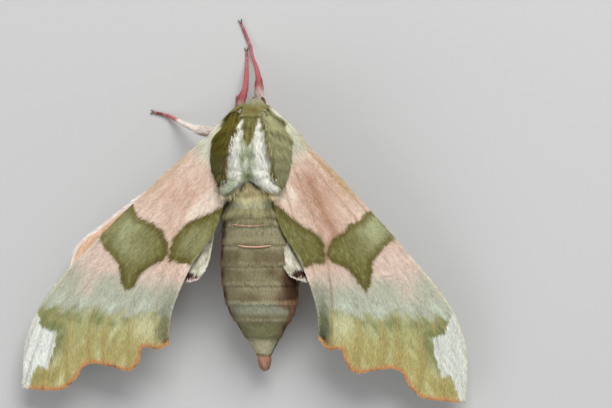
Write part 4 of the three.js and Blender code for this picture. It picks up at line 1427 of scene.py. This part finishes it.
def tegula_shape(roots, region):
    x, y, _ = roots.T
    rear = ramp(y, -1.5, 1.5)
    front = ramp(y, -3.2, -5)
    corner = ramp(np.abs(x), 2.8, 3.8) * rear
    return 1 + 0.2 * rear - 0.5 * front - 0.35 * corner, 1 - 0.7 * front - 0.5 * corner


def head_shape(roots, region):
    y, z = roots[:, 1], roots[:, 2]
    away = ramp(eye_distance(roots), EYE_RADIUS + 0.15, EYE_RADIUS + 0.7)
    collar = on(region, "collar") * ramp(y, -5.2, -4.5)
    crown = ramp(y, -5.35, -5.95) * ramp(z, 6.6, 7.6)
    tip = ramp(y, -5.3, -6.0) * (1 - crown)
    longer = (0.35 + 0.65 * away) * (1 + 0.5 * collar - 0.35 * tip - 0.48 * crown)
    return longer, (0.4 + 0.6 * away) * (1 - 0.4 * tip - 0.1 * crown)


def abdomen_shape(roots, region):
    phase = ring_phase(roots[:, 1])
    return 1 + 0.15 * ramp(phase, 0.7, 0.95), 1 + 0.2 * ramp(phase, 0.8, 1)


def leg_shape(roots, region):
    longer, raised = np.ones((2, len(roots)))
    for _, here, share, _, _ in legs_among(roots, region):
        thigh = ramp(share, 0.42, 0.28)
        longer[here] = 0.6 + 1.6 * thigh
        raised[here] = 0.7 + 0.9 * thigh
    return longer, raised


def build_body():
    """The skin, then each region's coat, with finer and shorter locks on the head, palps and legs."""
    skin, region = build_skin()
    hide = Hide(skin, region)
    build_coat(hide, "thorax_hair", ["thorax"], 19000, 201, length=1.2, width=0.115, lift=0.5,
               rings=2, droop=0.62, shape=thorax_shape)
    build_coat(hide, "tegula_hair", ["tegula_left", "tegula_right"], 19000, 211, length=1.4, width=0.095,
               lift=0.34, rings=2, droop=0.6, shape=tegula_shape)
    build_coat(hide, "head_hair", ["head", "collar"], 12500, 221, length=0.62, width=0.085, lift=0.45,
               rings=2, droop=0.8, turn=0.25, comb=0.35, sink=0.012, shape=head_shape)
    build_coat(hide, "abdomen_scales", ["abdomen"], 40000, 231, length=0.5, width=0.14, lift=0.3,
               droop=0.5, thick=0.18, finish="body_scales", shape=abdomen_shape, clump=0.25)
    build_coat(hide, "waist_hair", ["abdomen"], 3200, 236, length=1.05, width=0.1, lift=0.4, rings=2,
               density=lambda spots: ramp(spots[:, 1], 7.3, 6.0) * ramp(spots[:, 2], 5, 7))
    build_coat(hide, "tail_tuft_hair", ["anal_tuft"], 2600, 241, length=0.65, width=0.1, lift=0.6, rings=2)
    build_coat(hide, "palp_scales", ["palp_left", "palp_right"], 3200, 251, length=0.4, width=0.08,
               lift=0.55, thick=0.25, rings=2)
    build_coat(hide, "leg_scales", list(LEG_PATHS), 20000, 261, length=0.3, width=0.09, lift=0.24,
               droop=0.4, thick=0.2, finish="body_scales", sink=0.012, shape=leg_shape)
    finish_piece(skin, "moth_skin", "body_skin", BODY_REGIONS)


# ---------------------------------------------------------------- eyes, feelers and claws


def eye_finish():
    """A dark compound eye: fine facets in relief, a warm sheen and paler clouds."""
    material, tree, shader = new_material(
        "compound eye", 0.22, Specular_IOR_Level=0.5, Coat_Weight=0.3, Coat_Roughness=0.15)
    place = add_node(tree, "ShaderNodeTexCoord").outputs["Object"]
    facets = add_node(tree, "ShaderNodeTexVoronoi", {"Vector": place, "Scale": 16000.0}).outputs["Distance"]
    body = mix_colour(tree, remap(tree, cloud(tree, 1700.0, 3.0), 0.42, 0.62), shade(34, 22, 16), shade(72, 52, 34))
    colour_by(tree, shader, mix_colour(tree, remap(tree, facets, 0.3, 0.6), body, shade(20, 12, 10)))
    raise_relief(tree, shader, facets, 0.35, 0.00002, invert=True)
    return material


def feeler_finish():
    """Feelers: chalky pale scales above, brown below, ringed at every joint and green at the root."""
    material, tree, shader = new_material("feeler", 0.7, Specular_IOR_Level=0.3)
    noise = cloud(tree, 4000.0, 3.0)
    colour = mix_colour(tree, noise, shade(232, 224, 208), shade(206, 198, 170))
    for mark, tint in (("under", (146, 104, 70)), ("root", (120, 114, 64)), ("ring", (150, 132, 100))):
        colour = mix_colour(tree, read_mark(tree, mark), colour, shade(*tint))
    colour_by(tree, shader, colour)
    raise_relief(tree, shader, noise, 0.4, 0.00002)
    return material


def claw_finish():
    """Horn: dark red-brown, and darker towards the point."""
    material, tree, shader = new_material("claw horn", 0.35, Specular_IOR_Level=0.5)
    base = mix_colour(tree, cloud(tree, 3000.0, 2.0), shade(120, 56, 44), shade(80, 34, 28))
    colour_by(tree, shader, mix_colour(tree, read_mark(tree, "tip"), base, shade(38, 18, 16)))
    return material


def build_eyes():
    """Two balls with very slightly uneven surfaces."""
    finish = eye_finish()
    for side, sign in SIDES.items():
        eye = ball(5, EYE_RADIUS)
        points = points_of(eye)
        facets = 0.004 * wobble(points, 0.2, 301)
        set_points(eye, points * (0.99 + facets[:, None]) * (0.985, 1.0, 1.0) + eye_spot(sign))
        finish_piece(eye, f"eye_{side}_ball", finish, [f"eye_{side}"])


def tube(path, rings, sides, profile=np.ones_like):
    """A closed tube along a path of [x, y, z, radius], with its radius shaped by `profile(share)`."""
    deselect_all()
    bpy.ops.mesh.primitive_uv_sphere_add(segments=sides, ring_count=rings + 1)
    piece = bpy.context.active_object
    ball = points_of(piece)
    ring = np.round(np.arccos(np.clip(ball[:, 2], -1, 1)) / math.pi * (rings + 1)).astype(int)
    is_ring = (ring > 0) & (ring <= rings)
    share = np.clip((ring - 1) / (rings - 1), 0, 1)
    angle = np.arctan2(ball[:, 1], ball[:, 0])
    table = row_at(path, np.linspace(0, 1, rings))
    heading = unit(np.gradient(table[:, :3], axis=0))
    across = unit(np.cross(heading, (0, 0, 1.0)))
    over = np.cross(across, heading)
    index = np.clip(ring - 1, 0, rings - 1)
    radius = table[index, 3] * profile(share)
    spread = across[index] * np.cos(angle)[:, None] + over[index] * np.sin(angle)[:, None]
    cap = heading[index] * (np.where(ring == 0, -0.5, 0.8) * ~is_ring * radius)[:, None]
    set_points(piece, table[index, :3] + spread * (radius * is_ring)[:, None] + cap)
    return piece, share, np.sin(angle) * is_ring


def beyond_root(share, side):
    """0 on the feeler's root, which wears the head's own green, and 1 further out."""
    return ramp(share, 0.22, 0.42) if side == "left" else ramp(share, 0.1, 0.2)


def feeler_taper(share):
    """A feeler's thickness as a share of its path's radius."""
    return (0.62 + 0.3 * hump(share, 0.55, 0.4)) * np.where(share > FEELER_END, 1 - (share - FEELER_END) * 12, 1)


def feeler_joints(share):
    """0 at each joint of a feeler and 1 in the middle between two."""
    return np.abs(np.sin(share * FEELER_JOINTS * math.pi))


def beaded(share):
    """The shaft's profile: its taper, drawn in a little at every joint."""
    return feeler_taper(share) * (0.92 + 0.1 * feeler_joints(share) ** 0.5)


def build_feelers():
    """The feelers' beaded shafts."""
    finish = feeler_finish()
    for side, sign in SIDES.items():
        feeler, share, rise = tube(mirrored(ANTENNA_PATH, sign), FEELER_JOINTS * 4 + 1, 12, beaded)
        write_marks(feeler.data, {
            "ring": 0.7 * hump(feeler_joints(share), 0, 0.35), "under": ramp(rise, 0.1, -0.4),
            "root": 1 - beyond_root(share, side),
        })
        finish_piece(feeler, f"antenna_{side}_shaft", finish, [f"antenna_{side}"])


def build_feeler_scales():
    """Scales over each feeler, chalky above and brown below."""
    for side, sign in SIDES.items():
        count = FEELER_SCALES
        rng = np.random.default_rng(310 + sign)
        share = rng.uniform(0.02, 0.97, count)
        turn = rng.uniform(0, math.tau, count)
        path = mirrored(ANTENNA_PATH, sign)
        spot, ahead = row_at(path, share), row_at(path, share + 0.01)
        heading = unit(ahead[:, :3] - spot[:, :3])
        across = unit(np.cross(heading, (0, 0, 1.0)))
        normals = across * np.cos(turn)[:, None] + np.cross(across, heading) * np.sin(turn)[:, None]
        radius = spot[:, 3] * feeler_taper(share)
        above, beyond = ramp(np.sin(turn), -0.2, 0.2), beyond_root(share, side)
        piece = grow(
            f"antenna_{side}_scales", spot[:, :3] + normals * (radius * 0.95)[:, None], heading, normals,
            length=0.2 * rng.uniform(0.8, 1.2, count), width=0.09, lift=0.3, droop=0.3, thick=0.2,
            marks={"feeler": above * beyond, "feeler_under": (1 - above) * beyond},
            tone=rng.uniform(-0.5, 0.5, count), hue=rng.uniform(-1, 1, count),
            places=np.stack([turn / math.tau, share], axis=1), own_flat=True,
        )
        finish_piece(piece, f"antenna_{side}_scales", "body_scales")


def build_ring_lines():
    """The thin rosy lines of bare skin behind the first two broad rings."""
    for index, (y, low_x, high_x) in enumerate(((6.88, -1.85, 2.0), (9.12, -2.15, 1.4))):
        place = np.linspace(-1, 1, 11)
        spots = np.stack([np.linspace(low_x, high_x, 11), y + 0.17 * (1 - place ** 2), np.zeros(11)], axis=1)
        row, _, across = abdomen_frame(spots)
        spots[:, 2] = row[:, 2] + row[:, 4] * np.sqrt(np.maximum(1 - across ** 2, 0)) - 0.07
        line, share, _ = tube(np.column_stack([spots, 0.085 - 0.045 * place ** 4]), 41, 8)
        full = np.ones(len(share))
        write_marks(line.data, {"ring_rosy": full, "tip": full})
        finish_piece(line, f"abdomen_rosy_line_{index + 1}", "body_scales")


# A claw's path: how far on from the foot's end, aside and up, and its radius.
CLAW_HOOK = [(0, 0.06, 0, 0.075), (0.18, 0.15, 0.05, 0.06), (0.34, 0.17, -0.03, 0.04), (0.4, 0.14, -0.13, 0.012)]


def build_claws():
    """A pair of hooked claws at the end of each foot."""
    finish = claw_finish()
    for leg, path in LEG_PATHS.items():
        before, tip = (np.array(row[:3]) for row in path[-2:])
        heading = unit(tip - before)
        aside = np.cross(heading, (0, 0, 1))
        claws = []
        for hand in (-1, 1):
            hook = [
                (*(tip + heading * on_by + aside * hand * out_by + (0, 0, up_by)), radius)
                for on_by, out_by, up_by, radius in CLAW_HOOK
            ]
            claw, share, _ = tube(hook, 9, 8)
            write_marks(claw.data, {"tip": ramp(share, 0.3, 1)})
            claws.append(claw)
        pair = join(claws)
        keep_above_floor(pair)
        finish_piece(pair, f"{leg}_claws", finish)


# ---------------------------------------------------------------- stage


# The camera's target in millimetres on the moth's axes, its distance in metres and its lean in degrees.
CAMERA_TARGET = (-5.745, 4.708, 8.0)
CAMERA_DISTANCE = 0.285
CAMERA_LEAN = 7
CAMERA_LENS = 156.68
# Each lamp's place, width and power.
LAMPS = {"key": ((-0.1, -0.26, 0.3), 0.24, 1.6), "fill": ((0.26, 0.2, 0.3), 0.35, 0.45)}
SKY, SKY_STRENGTH = (0.93, 0.96, 1.0, 1), 0.43


def build_stage():
    """A pale floor, soft light from the moth's right and front, and a camera that looks down on it."""
    material, tree, shader = new_material("pale floor", 0.9, Specular_IOR_Level=0.1)
    noise = add_node(tree, "ShaderNodeTexNoise", {"Scale": 60.0, "Detail": 2.0})
    colour_by(tree, shader, mix_colour(tree, noise.outputs[0], shade(196, 196, 194), shade(191, 191, 189)))
    deselect_all()
    bpy.ops.mesh.primitive_plane_add(size=3, location=(0, 0, 0))
    floor = bpy.context.active_object
    floor.name = "floor"
    floor.data.materials.append(material)

    scene = bpy.context.scene
    scene.world = bpy.data.worlds.new("studio")
    scene.world.use_nodes = True
    sky = scene.world.node_tree.nodes["Background"]
    sky.inputs["Color"].default_value = SKY
    sky.inputs["Strength"].default_value = SKY_STRENGTH
    for name, (place, size, power) in LAMPS.items():
        light = bpy.data.lights.new(name, "AREA")
        light.size, light.energy = size, power
        lamp = new_object(name, light)
        lamp.location = place
        lamp.rotation_euler = Vector(place).to_track_quat("Z", "Y").to_euler()

    lean = math.radians(CAMERA_LEAN)
    view = np.array([math.sin(lean), 0, -math.cos(lean)])
    right = np.array([-math.cos(lean), 0, -math.sin(lean)])
    place = (np.array(CAMERA_TARGET) + ROW_SHIFT) * MM - view * CAMERA_DISTANCE
    camera = new_object("camera", bpy.data.cameras.new("camera"))
    camera.data.sensor_width, camera.data.lens, camera.data.clip_start = 36, CAMERA_LENS, 0.01
    columns = [right, (0, -1, 0), -view, place]
    camera.matrix_world = Matrix([[float(c[row]) for c in columns] for row in range(3)] + [[0, 0, 0, 1]])
    scene.camera = camera
    scene.view_settings.view_transform = "Standard"


build_wings()
build_body()
build_eyes()
build_feelers()
build_feeler_scales()
build_ring_lines()
build_claws()
build_stage()
